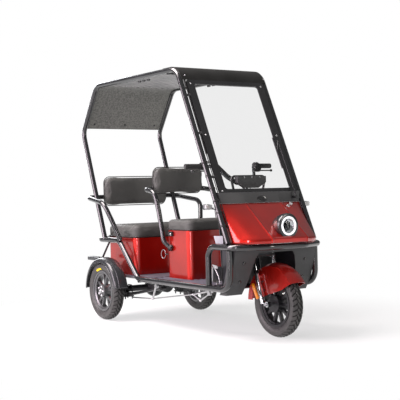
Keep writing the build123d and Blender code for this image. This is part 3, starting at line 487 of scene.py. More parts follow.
@dataclass(frozen=True)
class Finish:
    """One surface finish, built once as a material.

    The base colour drifts between two tones on large soft noise, the roughness drifts a
    little with it, and the grain raises a fine bump. Where a groove shade is set, the colour
    is darkened in the grooves: painted shade.
    """

    name: str
    slot: str
    colour: Point
    second: Point
    roughness: float
    metallic: float = 0.0
    coat: float = 0.0
    coat_roughness: float = 0.04
    grain: Grain = Grain.SMOOTH
    grain_size: float = 400.0
    relief: float = 0.0
    mottle_size: float = 6.0
    specular: float = 0.5
    sheen: float = 0.0
    transmission: float = 0.0
    ior: float = 1.45
    alpha: float = 1.0
    glow: float = 0.0
    # Share of the colour left at the bottom of a groove: painted shade in the tread.
    painted_groove_shade: float = 1.0

    def material(self) -> bpy.types.Material:
        """The material of this finish, made on first use."""
        found = bpy.data.materials.get(self.name)
        return found or self.build()

    def build(self) -> bpy.types.Material:
        """Makes the material's nodes."""
        material = bpy.data.materials.new(self.name)
        material.use_nodes = True
        nodes, links = material.node_tree.nodes, material.node_tree.links
        shader = nodes["Principled BSDF"]
        place = nodes.new("ShaderNodeTexCoord")
        mottle = nodes.new("ShaderNodeTexNoise")
        mottle.inputs["Scale"].default_value = self.mottle_size
        mottle.inputs["Detail"].default_value = 4.0
        links.new(place.outputs["Object"], mottle.inputs["Vector"])
        tones = colour_ramp(nodes, ((TONE_STOPS[0], self.colour), (TONE_STOPS[1], self.second)))
        links.new(mottle.outputs["Fac"], tones.inputs["Fac"])
        links.new(tones.outputs["Color"], shader.inputs["Base Color"])
        gloss = nodes.new("ShaderNodeMapRange")
        gloss.inputs["To Min"].default_value = self.roughness * (1.0 - GLOSS_DRIFT)
        gloss.inputs["To Max"].default_value = min(self.roughness * (1.0 + GLOSS_DRIFT), 1.0)
        links.new(mottle.outputs["Fac"], gloss.inputs["Value"])
        links.new(gloss.outputs["Result"], shader.inputs["Roughness"])
        constants = {
            "Metallic": self.metallic, "Coat Weight": self.coat, "Coat Roughness": self.coat_roughness,
            "Specular IOR Level": self.specular, "Sheen Weight": self.sheen,
            "Transmission Weight": self.transmission, "IOR": self.ior, "Alpha": self.alpha}
        for socket, value in constants.items():
            shader.inputs[socket].default_value = value
        if self.glow:
            shader.inputs["Emission Color"].default_value = (*self.second, 1.0)
            shader.inputs["Emission Strength"].default_value = self.glow
        # Painted shade: the colour darkens in the grooves.
        if self.painted_groove_shade < 1.0:
            self.paint_groove_shade(material, tones, shader)
        if self.relief:
            self.add_grain(material, place, shader)
        return material

    def paint_groove_shade(self, material: bpy.types.Material, tones: bpy.types.Node,
                       shader: bpy.types.Node) -> None:
        """Paints shade into the grooves: darkens the colour by the mesh attribute that tells
        how deep a groove is.

        Args:
            material: the material being made.
            tones: the node that gives the base colour.
            shader: the surface shader that takes the colour.
        """
        nodes, links = material.node_tree.nodes, material.node_tree.links
        depth = nodes.new("ShaderNodeAttribute")
        depth.attribute_name = GROOVE_SHADE_ATTRIBUTE
        groove_shade_factor = nodes.new("ShaderNodeMapRange")
        groove_shade_factor.inputs["To Min"].default_value = 1.0
        groove_shade_factor.inputs["To Max"].default_value = self.painted_groove_shade
        links.new(depth.outputs["Fac"], groove_shade_factor.inputs["Value"])
        scale = nodes.new("ShaderNodeVectorMath")
        scale.operation = "SCALE"
        links.new(tones.outputs["Color"], scale.inputs[0])
        links.new(groove_shade_factor.outputs["Result"], scale.inputs["Scale"])
        links.new(scale.outputs["Vector"], shader.inputs["Base Color"])

    def add_grain(self, material: bpy.types.Material, place: bpy.types.Node,
                  shader: bpy.types.Node) -> None:
        """Adds the bump of the grain.

        Args:
            material: the material being made.
            place: the node that gives object coordinates.
            shader: the surface shader that takes the bump.
        """
        nodes, links = material.node_tree.nodes, material.node_tree.links
        if self.grain in (Grain.LEATHER, Grain.CAST):
            grain = nodes.new("ShaderNodeTexVoronoi")
            grain.feature = "DISTANCE_TO_EDGE" if self.grain is Grain.LEATHER else "SMOOTH_F1"
            height = grain.outputs["Distance"]
        else:
            grain = nodes.new("ShaderNodeTexNoise")
            grain.inputs["Detail"].default_value = 6.0 if self.grain is Grain.FELT else 2.0
            height = grain.outputs["Fac"]
        grain.inputs["Scale"].default_value = self.grain_size
        links.new(place.outputs["Object"], grain.inputs["Vector"])
        bump = nodes.new("ShaderNodeBump")
        bump.inputs["Strength"].default_value = self.relief
        bump.inputs["Distance"].default_value = MILLIMETRE
        links.new(height, bump.inputs["Height"])
        links.new(bump.outputs["Normal"], shader.inputs["Normal"])


RED_PAINT = Finish(
    "red_metallic_paint", "red_paint", (0.41, 0.0085, 0.004), (0.48, 0.012, 0.006), 0.38, metallic=0.75,
    coat=1.0, coat_roughness=0.09, specular=0.2)
TUBE_PAINT = Finish(
    "black_tube_enamel", "black_tube", (0.006, 0.0065, 0.0075), (0.010, 0.0105, 0.012), 0.24, coat=0.8,
    coat_roughness=0.10, specular=0.6)
GLOSS_BLACK = Finish(
    "gloss_black_trim", "gloss_black", (0.012, 0.012, 0.013), (0.018, 0.018, 0.019), 0.22, coat=0.4)
FASCIA_BLACK = Finish(
    "satin_roof_trim", "gloss_black", (0.013, 0.013, 0.012), (0.019, 0.019, 0.018), 0.44, specular=0.25,
    grain=Grain.MOULDED, grain_size=900.0, relief=0.08)
DARK_PANEL = Finish(
    "moulded_dark_panel", "dark_panel", (0.036, 0.037, 0.038), (0.048, 0.049, 0.051), 0.46,
    grain=Grain.MOULDED, grain_size=1100.0, relief=0.22)
FENDER_PLASTIC = Finish(
    "rear_fender_plastic", "dark_panel", (0.022, 0.024, 0.026), (0.034, 0.036, 0.038), 0.26, coat=0.3,
    grain=Grain.MOULDED, grain_size=700.0, relief=0.08)
ROOF_SHEET = Finish(
    "ribbed_roof_sheet", "roof_sheet", (0.25, 0.255, 0.255), (0.31, 0.31, 0.305), 0.40, metallic=0.1,
    grain=Grain.PAINT, grain_size=300.0, relief=0.08)
FELT = Finish(
    "felt_lined_panel", "felt_panel", (0.092, 0.094, 0.086), (0.180, 0.183, 0.168), 0.92,
    grain=Grain.FELT, grain_size=420.0, relief=0.75, mottle_size=90.0, specular=0.2, sheen=0.25)
CLEAR_GLASS = Finish(
    "windshield_glazing", "clear_glass", (0.020, 0.022, 0.022), (0.030, 0.032, 0.032), 0.04, alpha=0.085,
    specular=0.3)
SEAT_VINYL = Finish(
    "seat_vinyl_grain", "seat_vinyl", (0.066, 0.067, 0.063), (0.084, 0.085, 0.080), 0.50,
    grain=Grain.LEATHER, grain_size=420.0, relief=0.16, specular=0.22)
PIPING_VINYL = Finish(
    "seat_piping_vinyl", "seat_vinyl", (0.022, 0.022, 0.021), (0.032, 0.032, 0.030), 0.40,
    grain=Grain.LEATHER, grain_size=500.0, relief=0.15)
FLOOR_MAT = Finish(
    "ribbed_floor_mat", "floor_mat", (0.075, 0.072, 0.090), (0.110, 0.105, 0.125), 0.45,
    grain=Grain.MOULDED, grain_size=500.0, relief=0.25)
BATTERY_CASE = Finish(
    "battery_and_motor_case", "battery_case", (0.025, 0.025, 0.027), (0.040, 0.040, 0.042), 0.5,
    grain=Grain.CAST, grain_size=300.0, relief=0.2)
DARK_METAL = Finish(
    "dark_metal_parts", "dark_metal", (0.020, 0.020, 0.022), (0.040, 0.040, 0.042), 0.38, metallic=0.4,
    grain=Grain.CAST, grain_size=350.0, relief=0.15)
CHROME = Finish(
    "bright_fork_chrome", "silver_metal", (0.62, 0.63, 0.64), (0.72, 0.73, 0.74), 0.16, metallic=1.0,
    grain=Grain.PAINT, grain_size=200.0, relief=0.03)
STEEL = Finish(
    "zinc_plated_steel", "silver_metal", (0.42, 0.43, 0.44), (0.58, 0.58, 0.58), 0.34, metallic=1.0,
    grain=Grain.CAST, grain_size=500.0, relief=0.08)
BAR_METAL = Finish(
    "handlebar_enamel", "bar_metal", (0.050, 0.058, 0.060), (0.075, 0.084, 0.086), 0.22, metallic=0.6,
    coat=0.5)
GRIP_RUBBER = Finish(
    "grip_rubber_ribs", "grip_rubber", (0.014, 0.014, 0.014), (0.026, 0.026, 0.026), 0.62,
    grain=Grain.RUBBER, grain_size=900.0, relief=0.35)
# Tyre rubber, with painted shade in the tread's grooves.
TYRE_RUBBER_GROOVE_SHADE = Finish(
    "tyre_rubber_groove_shade", "tyre_rubber", (0.036, 0.036, 0.0345), (0.060, 0.059, 0.057), 0.46,
    grain=Grain.RUBBER, grain_size=700.0, relief=0.2, mottle_size=25.0, painted_groove_shade=0.12)
BLACK_ALLOY = Finish(
    "front_wheel_alloy", "black_alloy", (0.014, 0.014, 0.016), (0.026, 0.026, 0.028), 0.36, metallic=0.3,
    grain=Grain.CAST, grain_size=600.0, relief=0.1)
GREY_ALLOY = Finish(
    "rear_wheel_alloy", "grey_alloy", (0.11, 0.112, 0.115), (0.17, 0.172, 0.175), 0.32, metallic=0.7,
    grain=Grain.CAST, grain_size=600.0, relief=0.1)
LAMP_HOUSING = Finish(
    "headlamp_shell", "lamp_housing", (0.014, 0.017, 0.018), (0.024, 0.028, 0.030), 0.26, coat=0.4,
    grain=Grain.MOULDED, grain_size=600.0, relief=0.06)
LAMP_GLASS = Finish(
    "lamp_clear_glass", "lamp_lens", (0.93, 0.94, 0.95), (0.95, 0.96, 0.97), 0.03, transmission=1.0, ior=1.2)
LAMP_RING = Finish(
    "lit_lamp_ring", "lamp_lens", (0.80, 0.82, 0.84), (0.90, 0.92, 0.94), 0.3, glow=0.55)
REFLECTOR = Finish(
    "lamp_reflector_chrome", "lamp_lens", (0.55, 0.56, 0.57), (0.75, 0.76, 0.77), 0.14, metallic=1.0)
RED_LENS = Finish(
    "tail_lamp_red", "red_lens", (0.30, 0.006, 0.010), (0.42, 0.010, 0.014), 0.16, coat=0.6)
AMBER_LENS = Finish(
    "amber_reflector", "lamp_lens", (0.85, 0.22, 0.008), (0.95, 0.30, 0.012), 0.22, coat=0.6,
    grain=Grain.CAST, grain_size=420.0, relief=0.4)
SIGNAL_LENS = Finish(
    "turn_signal_lens", "lamp_lens", (0.38, 0.39, 0.39), (0.60, 0.61, 0.60), 0.10, coat=0.6, alpha=0.80)
SEAL_RUBBER = Finish(
    "seal_and_cable_rubber", "grip_rubber", (0.008, 0.008, 0.008), (0.014, 0.014, 0.014), 0.45,
    grain=Grain.RUBBER, grain_size=800.0, relief=0.15)
LINER_PLASTIC = Finish(
    "wheel_well_plastic", "dark_panel", (0.014, 0.014, 0.017), (0.022, 0.021, 0.026), 0.34,
    grain=Grain.MOULDED, grain_size=800.0, relief=0.15)
YELLOW_MARK = Finish(
    "yellow_sidewall_mark", "tyre_rubber", (0.75, 0.52, 0.0), (0.85, 0.60, 0.0), 0.5)
GREY_TRIM = Finish(
    "light_grey_trim", "roof_sheet", (0.28, 0.28, 0.31), (0.36, 0.36, 0.39), 0.4,
    grain=Grain.MOULDED, grain_size=500.0, relief=0.1)


# Soft seats


def voxel_copy(piece: bpy.types.Object, voxel: float) -> bpy.types.Mesh:
    """The piece's shape as an even mesh of small squares.

    Args:
        piece: a closed object.
        voxel: edge length in metres.

    Returns:
        The new mesh.
    """
    even = piece.modifiers.new("even", "REMESH")
    even.mode = "VOXEL"
    even.voxel_size = voxel
    graph = bpy.context.evaluated_depsgraph_get()
    mesh = bpy.data.meshes.new_from_object(piece.evaluated_get(graph))
    piece.modifiers.remove(even)
    return mesh


def coordinates(mesh: bpy.types.Mesh) -> np.ndarray:
    """The mesh's points as rows of three."""
    flat = np.empty(len(mesh.vertices) * 3, np.float32)
    mesh.vertices.foreach_get("co", flat)
    return flat.reshape(-1, 3).astype(float)


def inflate(piece: bpy.types.Object, voxel: float, pressure: float, reach: float, frames: int = 20) -> None:
    """Swells a cushion by cloth simulation and keeps the result in its mesh.

    Each point's move is capped: the move is scaled by reach over its length where it is
    longer than reach.

    Args:
        piece: the closed cushion, a little smaller than wanted.
        voxel: edge length of the simulated mesh.
        pressure: the air pressure inside.
        reach: the furthest that a point may move.
        frames: how many steps are run.
    """
    piece.data = voxel_copy(piece, voxel)
    scene = bpy.context.scene
    cloth = piece.modifiers.new("cloth", "CLOTH")
    cloth.settings.use_pressure = True
    cloth.settings.uniform_pressure_force = pressure
    cloth.settings.effector_weights.gravity = 0.0
    cloth.settings.quality = 4
    cloth.point_cache.frame_start, cloth.point_cache.frame_end = 1, frames
    start = coordinates(piece.data)
    for number in range(1, frames + 1):
        scene.frame_set(number)
    graph = bpy.context.evaluated_depsgraph_get()
    blown = bpy.data.meshes.new_from_object(piece.evaluated_get(graph))
    move = coordinates(blown) - start
    length = np.linalg.norm(move, axis=1, keepdims=True)
    swollen = start + move * np.minimum(1.0, reach / np.maximum(length, reach * 0.01))
    piece.modifiers.remove(cloth)
    piece.data.vertices.foreach_set("co", swollen.astype(np.float32).ravel())
    bpy.data.meshes.remove(blown)
    scene.frame_set(1)
    piece.data.update()
    shade(piece.data, 180.0)
    fine = piece.modifiers.new("fine", "SUBSURF")
    fine.levels = fine.render_levels = 1


def outline_tube(outline: np.ndarray, radius: float, sides: int = 10) -> Arrays:
    """A thin bar along a closed flat outline.

    The section's two directions are the outline's plane normal and its cross product
    with the tangent, so the bar closes without a twist.

    Args:
        outline: points round the closed line, in frame coordinates.
        radius: half the bar's thickness.
        sides: points round the section.

    Returns:
        The points and faces.
    """
    tangent = unit(np.roll(outline, -1, axis=0) - np.roll(outline, 1, axis=0))
    middle = outline.mean(axis=0)
    normal = unit(np.cross(outline[0] - middle, outline[len(outline) // 4] - middle))
    side = np.cross(tangent, normal)
    angle = circle(sides)[None, :, None]
    points = outline[:, None] + radius * (np.cos(angle) * side[:, None] + np.sin(angle) * normal)
    return points.reshape(-1, 3), [grid_faces(len(outline), sides, True, True)]


@dataclass
class Seat:
    """A lid cushion on its box, or a seatback on its hoop.

    The profile rows are inset from the widest ring and height above the foot, both as
    shares of the cushion's thickness.
    """

    node: str
    body: str
    corner: float
    upright: bool = False
    shrink: float = 0.004
    voxel: float = 0.0055
    pressure: float = 3.0
    reach: float = 0.006
    fill: float = 0.8
    piping_radius: float = 0.0032
    piping_share: float = 0.10
    profile_shares: Table = (
        (0.50, 0.0), (0.06, 0.0), (0.0, 0.06), (0.0, 0.35), (0.0, 0.66), (0.03, 0.80), (0.10, 0.91),
        (0.22, 0.975), (0.42, 1.0), (1.0, 1.03))

    def turn(self) -> Matrix:
        """Turns width, length and height into the frame's directions."""
        if self.upright:
            return Matrix(((0, 0, 1, 0), (1, 0, 0, 0), (0, 1, 0, 0), (0, 0, 0, 1)))
        return Matrix(((0, 1, 0, 0), (-1, 0, 0, 0), (0, 0, 1, 0), (0, 0, 0, 1)))

    def sizes(self) -> tuple[tuple[float, float], float, np.ndarray]:
        """Half the width and length, the thickness, and the middle of the foot."""
        low, high = (np.array(corner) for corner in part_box(self.node))
        size, middle = high - low, (low + high) / 2
        if self.upright:
            return (size[1] / 2, size[2] / 2), size[0], np.array([low[0], middle[1], middle[2]])
        return (size[1] / 2, size[0] / 2), size[2], np.array([middle[0], middle[1], low[2]])

    def build(self) -> None:
        """Makes the padded piece and its piping."""
        half, thick, foot = self.sizes()
        half = (half[0] - self.shrink, half[1] - self.shrink)
        steps = np.array(self.profile_shares) * thick
        steps[:, 1] = np.minimum(steps[:, 1], thick - self.shrink / 2)
        shape = cushion_rings(half, self.corner, steps, self.turn(), foot)
        pad = make_object(self.node + "_cover", shape)
        inflate(pad, self.voxel, self.pressure, self.reach)
        finish_piece(pad, SEAT_VINYL, self.body)
        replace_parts(pad, self.node)
        self.add_piping(half, thick, foot)

    def add_piping(self, half: tuple[float, float], thick: float, foot: np.ndarray) -> None:
        """Adds the welt that runs round the side of the pad."""
        reach = self.shrink * 0.9
        flat = rounded_outline(half[0] + reach, half[1] + reach, self.corner, 12, 6)
        line = np.column_stack([flat, np.full(len(flat), thick * self.piping_share)])
        line = line @ np.array(self.turn().to_3x3()).T + foot
        add_piece(self.node + "_piping", outline_tube(line, self.piping_radius), PIPING_VINYL, body=self.body)


# Wheels


@dataclass
class TreadTyre:
    """A road tyre with wavy blocks, turned about its axle.

    The outer section is a table of radius and half width. The tread's depth is taken
    off the radius where a groove runs: two waving grooves run round the tyre, and
    slanting cuts divide the shoulders and the middle band into blocks. Each point's share of the
    full depth is kept on the mesh, and the finish paints shade into the grooves by it.
    """

    node: str
    body: str
    centre: np.ndarray
    repeats: int = 38
    around: int = 704
    section_points: int = 92
    groove_depth: float = 0.0065
    groove_half: float = 0.0021
    groove_place: float = 0.0125
    groove_edge: float = 0.001
    wave: float = 0.0035
    band_edge: float = 0.004
    side_shift: float = 0.3
    shoulder_slant: float = 22.0
    shoulder_half: float = 0.17
    middle_slant: float = 45.0
    middle_half: float = 0.14
    cut_edge: float = 0.05
    tread_half: float = 0.0395
    fade_edge: float = 0.003
    crown_radius: float = 0.1905
    crown_edge: float = 0.004
    section: Table = (
        (0.1362, 0.0265), (0.1440, 0.0280), (0.1500, 0.0292), (0.1512, 0.0318), (0.1560, 0.0350),
        (0.1640, 0.0388), (0.1730, 0.0405), (0.1800, 0.0408), (0.1850, 0.0402), (0.1872, 0.0408),
        (0.1900, 0.0404), (0.1935, 0.0385), (0.1975, 0.0345), (0.2015, 0.0290), (0.2050, 0.0225),
        (0.2078, 0.0150), (0.2094, 0.0075), (0.2100, 0.0))
    inner_section: Table = (
        (0.1362, 0.018), (0.150, 0.024), (0.170, 0.031), (0.188, 0.026), (0.196, 0.012),
        (0.196, -0.012), (0.188, -0.026), (0.170, -0.031), (0.150, -0.024), (0.1362, -0.018))

    def outer_section(self) -> np.ndarray:
        """The section from one bead to the other, divided finely."""
        half = np.array(self.section) * [1.0, -1.0]
        both = np.concatenate([half, (half * [1.0, -1.0])[-2::-1]])
        run = np.concatenate([[0.0], np.cumsum(np.linalg.norm(np.diff(both, axis=0), axis=1))])
        even = np.linspace(0.0, run[-1], self.section_points)
        return np.column_stack([np.interp(even, run, both[:, 0]), np.interp(even, run, both[:, 1])])

    def slanting_cuts(self, angle: np.ndarray, slant: np.ndarray, half: float) -> np.ndarray:
        """Cuts that repeat round the tyre, each in the middle of a repeat that the slant moves."""
        share = np.mod(angle * self.repeats / (2 * math.pi) + slant, 1.0)
        return np.clip((half - np.abs(share - 0.5)) / self.cut_edge, 0, 1)

    def tread_depth(self, angle: np.ndarray, across: np.ndarray) -> np.ndarray:
        """How deep the tread is cut at each angle and place across."""
        side, out = np.sign(across), np.abs(across)
        line = self.groove_place + self.wave * np.sin(angle * self.repeats + side)
        round_groove = 1 - np.clip((np.abs(out - line) - self.groove_half) / self.groove_edge, 0, 1)
        outer = np.clip((out - self.groove_place) / self.band_edge, 0, 1)
        slant = side * self.side_shift + out * self.shoulder_slant
        shoulder = self.slanting_cuts(angle, slant, self.shoulder_half) * outer
        middle = self.slanting_cuts(angle, across * self.middle_slant, self.middle_half) * (1 - outer)
        fade = np.clip((self.tread_half - out) / self.fade_edge, 0, 1)
        return self.groove_depth * np.maximum.reduce([round_groove, shoulder, middle]) * fade

    def build(self) -> None:
        """Makes the tyre."""
        section, inner = self.outer_section(), np.array(self.inner_section)
        inner_shape = (len(inner), self.around)
        angle = circle(self.around)[None, :]
        radius, across = section[:, :1], section[:, 1:]
        on_crown = np.clip((radius - self.crown_radius) / self.crown_edge, 0, 1)
        cut = self.tread_depth(angle, across) * on_crown
        radius = np.concatenate([radius - cut, np.broadcast_to(inner[:, :1], inner_shape)])
        across = np.broadcast_to(np.concatenate([across, inner[:, 1:]]), radius.shape)
        points = np.stack([radius * np.cos(angle), across, radius * np.sin(angle)], axis=-1) + self.centre
        shape = points.reshape(-1, 3), [grid_faces(*radius.shape, wrap_rows=True, wrap_columns=True)]
        piece = make_object(self.node + "_treaded", shape, 38.0)
        # The groove depth shares, by which the finish paints shade into the grooves.
        groove = piece.data.attributes.new(GROOVE_SHADE_ATTRIBUTE, "FLOAT", "POINT")
        shares = np.concatenate([cut / self.groove_depth, np.zeros(inner_shape)])
        groove.data.foreach_set("value", shares.ravel().astype(np.float32))
        finish_piece(piece, TYRE_RUBBER_GROOVE_SHADE, self.body)
        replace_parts(piece, self.node)


@dataclass
class WheelTrim:
    """The nuts and the cap of a wheel's hub, and the mark on its tyre.

    The cap's profile is a table of radius and height, and the mark's section one of
    radius and place across.
    """

    name: str
    body: str
    centre: np.ndarray
    outward: float
    nuts: int = 5
    nut_circle: float = 0.033
    nut_radius: float = 0.0105
    nut_height: float = 0.011
    hub_face: float = 0.040
    mark_angles: tuple[float, float] = (91.0, 117.0)
    mark_steps: int = 20
    cap: Table = (
        (0.017, -0.004), (0.017, 0.008), (0.0150, 0.013), (0.010, 0.0165), (0.004, 0.017))
    mark: Table = (
        (0.1525, 0.0325), (0.1525, 0.0341), (0.1585, 0.0379), (0.1655, 0.0409), (0.1655, 0.0380))

    def build(self) -> None:
        """Makes the small parts of the wheel's outer face."""
        way = Y_WAY * self.outward
        angle = circle(self.nuts)
        ring = np.stack([np.cos(angle), np.zeros(self.nuts), np.sin(angle)], axis=-1) * self.nut_circle
        face = self.centre + way * self.hub_face
        nuts = domes(face + ring, np.broadcast_to(way, ring.shape), self.nut_radius, self.nut_height, 6)
        cap = turned(np.array(self.cap), face, way, 32)
        add_piece(self.name + "_hub_nuts", join([nuts, cap]), STEEL, 30.0, self.body)
        self.add_mark()

    def add_mark(self) -> None:
        """Adds the short yellow bar on the sidewall: a thin bent plate between two radii."""
        angle = np.radians(np.linspace(*self.mark_angles, self.mark_steps))[:, None]
        rows = np.array(self.mark)
        radius, across = rows[:, 0][None, :], rows[:, 1][None, :] * self.outward
        across = np.broadcast_to(across, (self.mark_steps, len(rows)))
        rings = np.stack([radius * np.cos(angle), across, radius * np.sin(angle)], axis=-1)
        add_piece(self.name + "_mark", capped_rings(rings + self.centre), YELLOW_MARK, body=self.body)


# Front body


@dataclass
class Hood:
    """The red hood: a flat centre between two ridges, bulging flanks and a lip at its foot.

    Each plan runs from the post to the ridge, as shares of the way ahead and of the way
    inward, and a smooth line passes through its points. Between the crease and the top
    the plan changes evenly with the height.
    """

    low_shares: Table = ((0.28, 0.08), (0.50, 0.21), (0.68, 0.38), (0.84, 0.64))
    top_shares: Table = ((0.07, 0.05), (0.14, 0.10), (0.42, 0.36), (0.72, 0.70))
    heights: Point = (592.0, 622.0, 836.0)
    corners: Point = (1452.9, 1438.6, 1336.6)
    noses: Point = (1632.9, 1632.9, 1365.6)
    low_rows: tuple[float, ...] = (592.0, 604.0, 616.0, 620.0, 624.0, 630.0)
    high_row: float = 645.0
    high_rows: int = 20
    corner_y: float = 317.5
    ridge_y: float = 137.0
    ridge_rise: float = 4.0
    ridge_width: float = 5.5
    ridge_places: tuple[float, ...] = (12.0, 9.0, 6.5, 4.5, 2.5, 0.0, -2.5, -4.5, -6.5, -9.0)
    flank_points: int = 34
    centre_points: int = 8
    lip: float = 5.0
    lip_height: float = 611.0
    lip_spread: float = 7.0
    lip_reach: float = 60.0
    thickness: float = 0.003
    steps: int = 7

    def plan(self, row: int, shares: Table) -> np.ndarray:
        """The smooth plan of the left half at one of the three heights.

        The way ahead is read from the smooth line at even steps of the way inward, and
        the ridge adds a bell curve to it.

        Args:
            row: which of the three heights.
            shares: the plan's points between the post and the ridge.

        Returns:
            Rows of x and y in millimetres, from the post to the middle.
        """
        start = np.array([self.corners[row], self.corner_y])
        reach = np.array([self.noses[row], self.ridge_y]) - start
        turns = np.concatenate([[start], start + np.array(shares) * reach, [start + reach]])
        flank = smooth_path(turns, self.steps)[::-1]
        near = np.array(self.ridge_places) + self.ridge_y
        y = np.concatenate([np.linspace(self.corner_y, near[0], self.flank_points)[:-1], near,
                            np.linspace(near[-1] - 6.0, 0.0, self.centre_points)])
        bead = self.ridge_rise * np.exp(-(((y - self.ridge_y) / self.ridge_width) ** 2))
        return np.column_stack([np.interp(y, flank[:, 1], flank[:, 0]) + bead, y])

    def share(self, height: np.ndarray, row: int) -> np.ndarray:
        """How far each height is on its way from one of the three heights to the next."""
        low, high = self.heights[row], self.heights[row + 1]
        return np.clip((height - low) / (high - low), 0.0, 1.0)[:, None, None]

    def build(self) -> None:
        """Makes the hood."""
        shares = (self.low_shares, self.low_shares, self.top_shares)
        plans = [self.plan(row, one) for row, one in enumerate(shares)]
        height = np.concatenate([self.low_rows, np.linspace(self.high_row, self.heights[2], self.high_rows)])
        low, share = self.share(height, 0), self.share(height, 1)
        half = (1 - low) * plans[0] + low * ((1 - share) * plans[1] + share * plans[2])
        bulge = self.lip * np.exp(-(((height - self.lip_height) / self.lip_spread) ** 2))[:, None]
        half[:, :, 0] += bulge * np.clip((half[:, :, 0] - half[:, :1, 0]) / self.lip_reach, 0.0, 1.0)
        plan = np.concatenate([half * [1.0, -1.0], half[:, -2::-1]], axis=1)
        level = np.broadcast_to(height[:, None, None], (*plan.shape[:2], 1))
        points = places(np.concatenate([plan, level], axis=-1))
        piece = make_object("hood_skin", (points.reshape(-1, 3), [grid_faces(*points.shape[:2])]), 30.0)
        thicken(piece, self.thickness)
        finish_piece(piece, RED_PAINT, CHASSIS)
        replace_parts(piece, "hood")


@dataclass
class Headlamp:
    """The round headlamp: tapered shell, ring light, reflector, projector and cover glass.

    Each profile is a table of radius and height ahead of the lamp's spot. The barrels of
    the projector are given by height above the spot and radius.
    """

    spot: Point = (1622.0, 0.0, 694.0)
    ring_radius: float = 0.0520
    ring_half: tuple[float, float] = (0.0070, 0.0055)
    ring_back: float = 0.0035
    cover_thickness: float = 0.0025
    barrel_depth: float = 0.011
    shell: Table = (
        (0.0590, 0.0), (0.0680, 0.0), (0.0735, -0.002), (0.0765, -0.008), (0.0770, -0.020),
        (0.0740, -0.045), (0.0650, -0.079), (0.0520, -0.104), (0.0340, -0.126), (0.0280, -0.122),
        (0.0460, -0.100), (0.0580, -0.077), (0.0600, -0.045), (0.0590, -0.014))
    bowl: Table = (
        (0.004, -0.029), (0.018, -0.028), (0.031, -0.022), (0.040, -0.013), (0.0455, -0.005),
        (0.0455, -0.031), (0.028, -0.032))
    cover: Table = ((0.0460, -0.011), (0.043, -0.008), (0.033, -0.0045), (0.018, -0.0022), (0.004, -0.0018))
    barrels: Table = ((0.014, 0.013), (-0.014, 0.013), (0.0, 0.0165))
    barrel_shares: Table = ((1.0, -1.9), (1.0, -0.5), (0.85, -0.15), (0.62, -0.1), (0.55, -0.4), (0.2, -0.3))

    def build(self) -> None:
        """Makes the lamp's parts."""
        place = from_axle(*self.spot)
        shape = turned_ring(np.array(self.shell), place, X_WAY, 96)
        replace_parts(add_piece("headlamp_shell", shape, LAMP_HOUSING, 35.0), "headlamp_housing")
        shape = turned_ring(np.array(self.bowl), place, X_WAY, 64)
        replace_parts(add_piece("headlamp_reflector", shape, REFLECTOR, 50.0), "headlamp_lens")
        turn = circle(16)
        section = np.stack([self.ring_radius + self.ring_half[0] * np.cos(turn),
                            self.ring_half[1] * np.sin(turn) - self.ring_back], axis=-1)
        add_piece("headlamp_ring", turned_ring(section, place, X_WAY, 96), LAMP_RING, 60.0)
        shares = np.array(self.barrel_shares)
        barrels = [turned(shares * [radius, self.barrel_depth], place + Z_WAY * height, X_WAY, 32)
                   for height, radius in self.barrels]
        add_piece("headlamp_projector", join(barrels), LAMP_HOUSING)
        cover = np.array(self.cover)
        back = cover[::-1] - [0.0, self.cover_thickness]
        add_piece("headlamp_glass", turned(np.concatenate([back, cover]), place, X_WAY, 64), LAMP_GLASS)


# Carried-over parts and small fasteners


@dataclass
class CarriedParts:
    """The solids that keep their own shape and only take a finish."""

    finishes: dict[Finish, tuple[str, ...]]

    def build(self) -> None:
        """Gives each solid its finish."""
        for finish, nodes in self.finishes.items():
            for node in nodes:
                solid = frame["nodes"][node]
                solid.data.materials.clear()
                solid.data.materials.append(finish.material())
                log.info("%s keeps its shape, finish %s", node, finish.name)


@dataclass
class Bolts:
    """A group of like screw heads on one body."""

    name: str
    body: str
    finish: Finish
    spots: list[tuple[float, ...]]
    way: Point
    radius: float = 0.006
    height: float = 0.004

    def build(self) -> None:
        """Makes the heads as one mesh."""
        centres = places(self.spots)
        axes = np.broadcast_to(np.array(self.way, float), centres.shape)
        add_piece(self.name, domes(centres, axes, self.radius, self.height, 12), self.finish, 45.0, self.body)


# Plastic shells


@dataclass
class RearFender:
    """One rear fender: a crowned shell with a raised band along its middle and a rolled lip.

    The half section is a table of distance from the middle and radius, carried round the
    axle between two angles in degrees from straight ahead.
    """

    name: str
    side: float
    start: float = 8.0
    end: float = 178.0
    steps: int = 86
    thickness: float = 0.0025
    half_section: Table = (
        (0.0, 243.0), (12.0, 242.8), (21.0, 242.2), (24.0, 241.6), (25.5, 239.6), (28.0, 239.0),
        (36.0, 237.6), (43.0, 235.2), (48.5, 231.6), (52.0, 227.0), (53.4, 221.0), (53.4, 213.0),
        (54.0, 210.0), (55.6, 208.8), (55.6, 207.4))

    def build(self) -> None:
        """Makes the shell."""
        half = np.array(self.half_section)
        section = np.concatenate([half[::-1] * [-1.0, 1.0], half[1:]])
        angle = np.radians(np.linspace(self.start, self.end, self.steps))[:, None]
        radius, across = section[None, :, 1], section[None, :, 0] + self.side * HALF_TRACK
        across = np.broadcast_to(across, (self.steps, len(section)))
        points = np.stack([radius * np.cos(angle), across, radius * np.sin(angle)], axis=-1) * MILLIMETRE
        points = points + [REAR_AXLE_X, 0.0, AXLE_Z]
        piece = make_object(self.name, (points.reshape(-1, 3), [grid_faces(*points.shape[:2])]), 34.0)
        thicken(piece, self.thickness)
        finish_piece(piece, FENDER_PLASTIC, CHASSIS)
        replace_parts(piece, "rear_fenders")


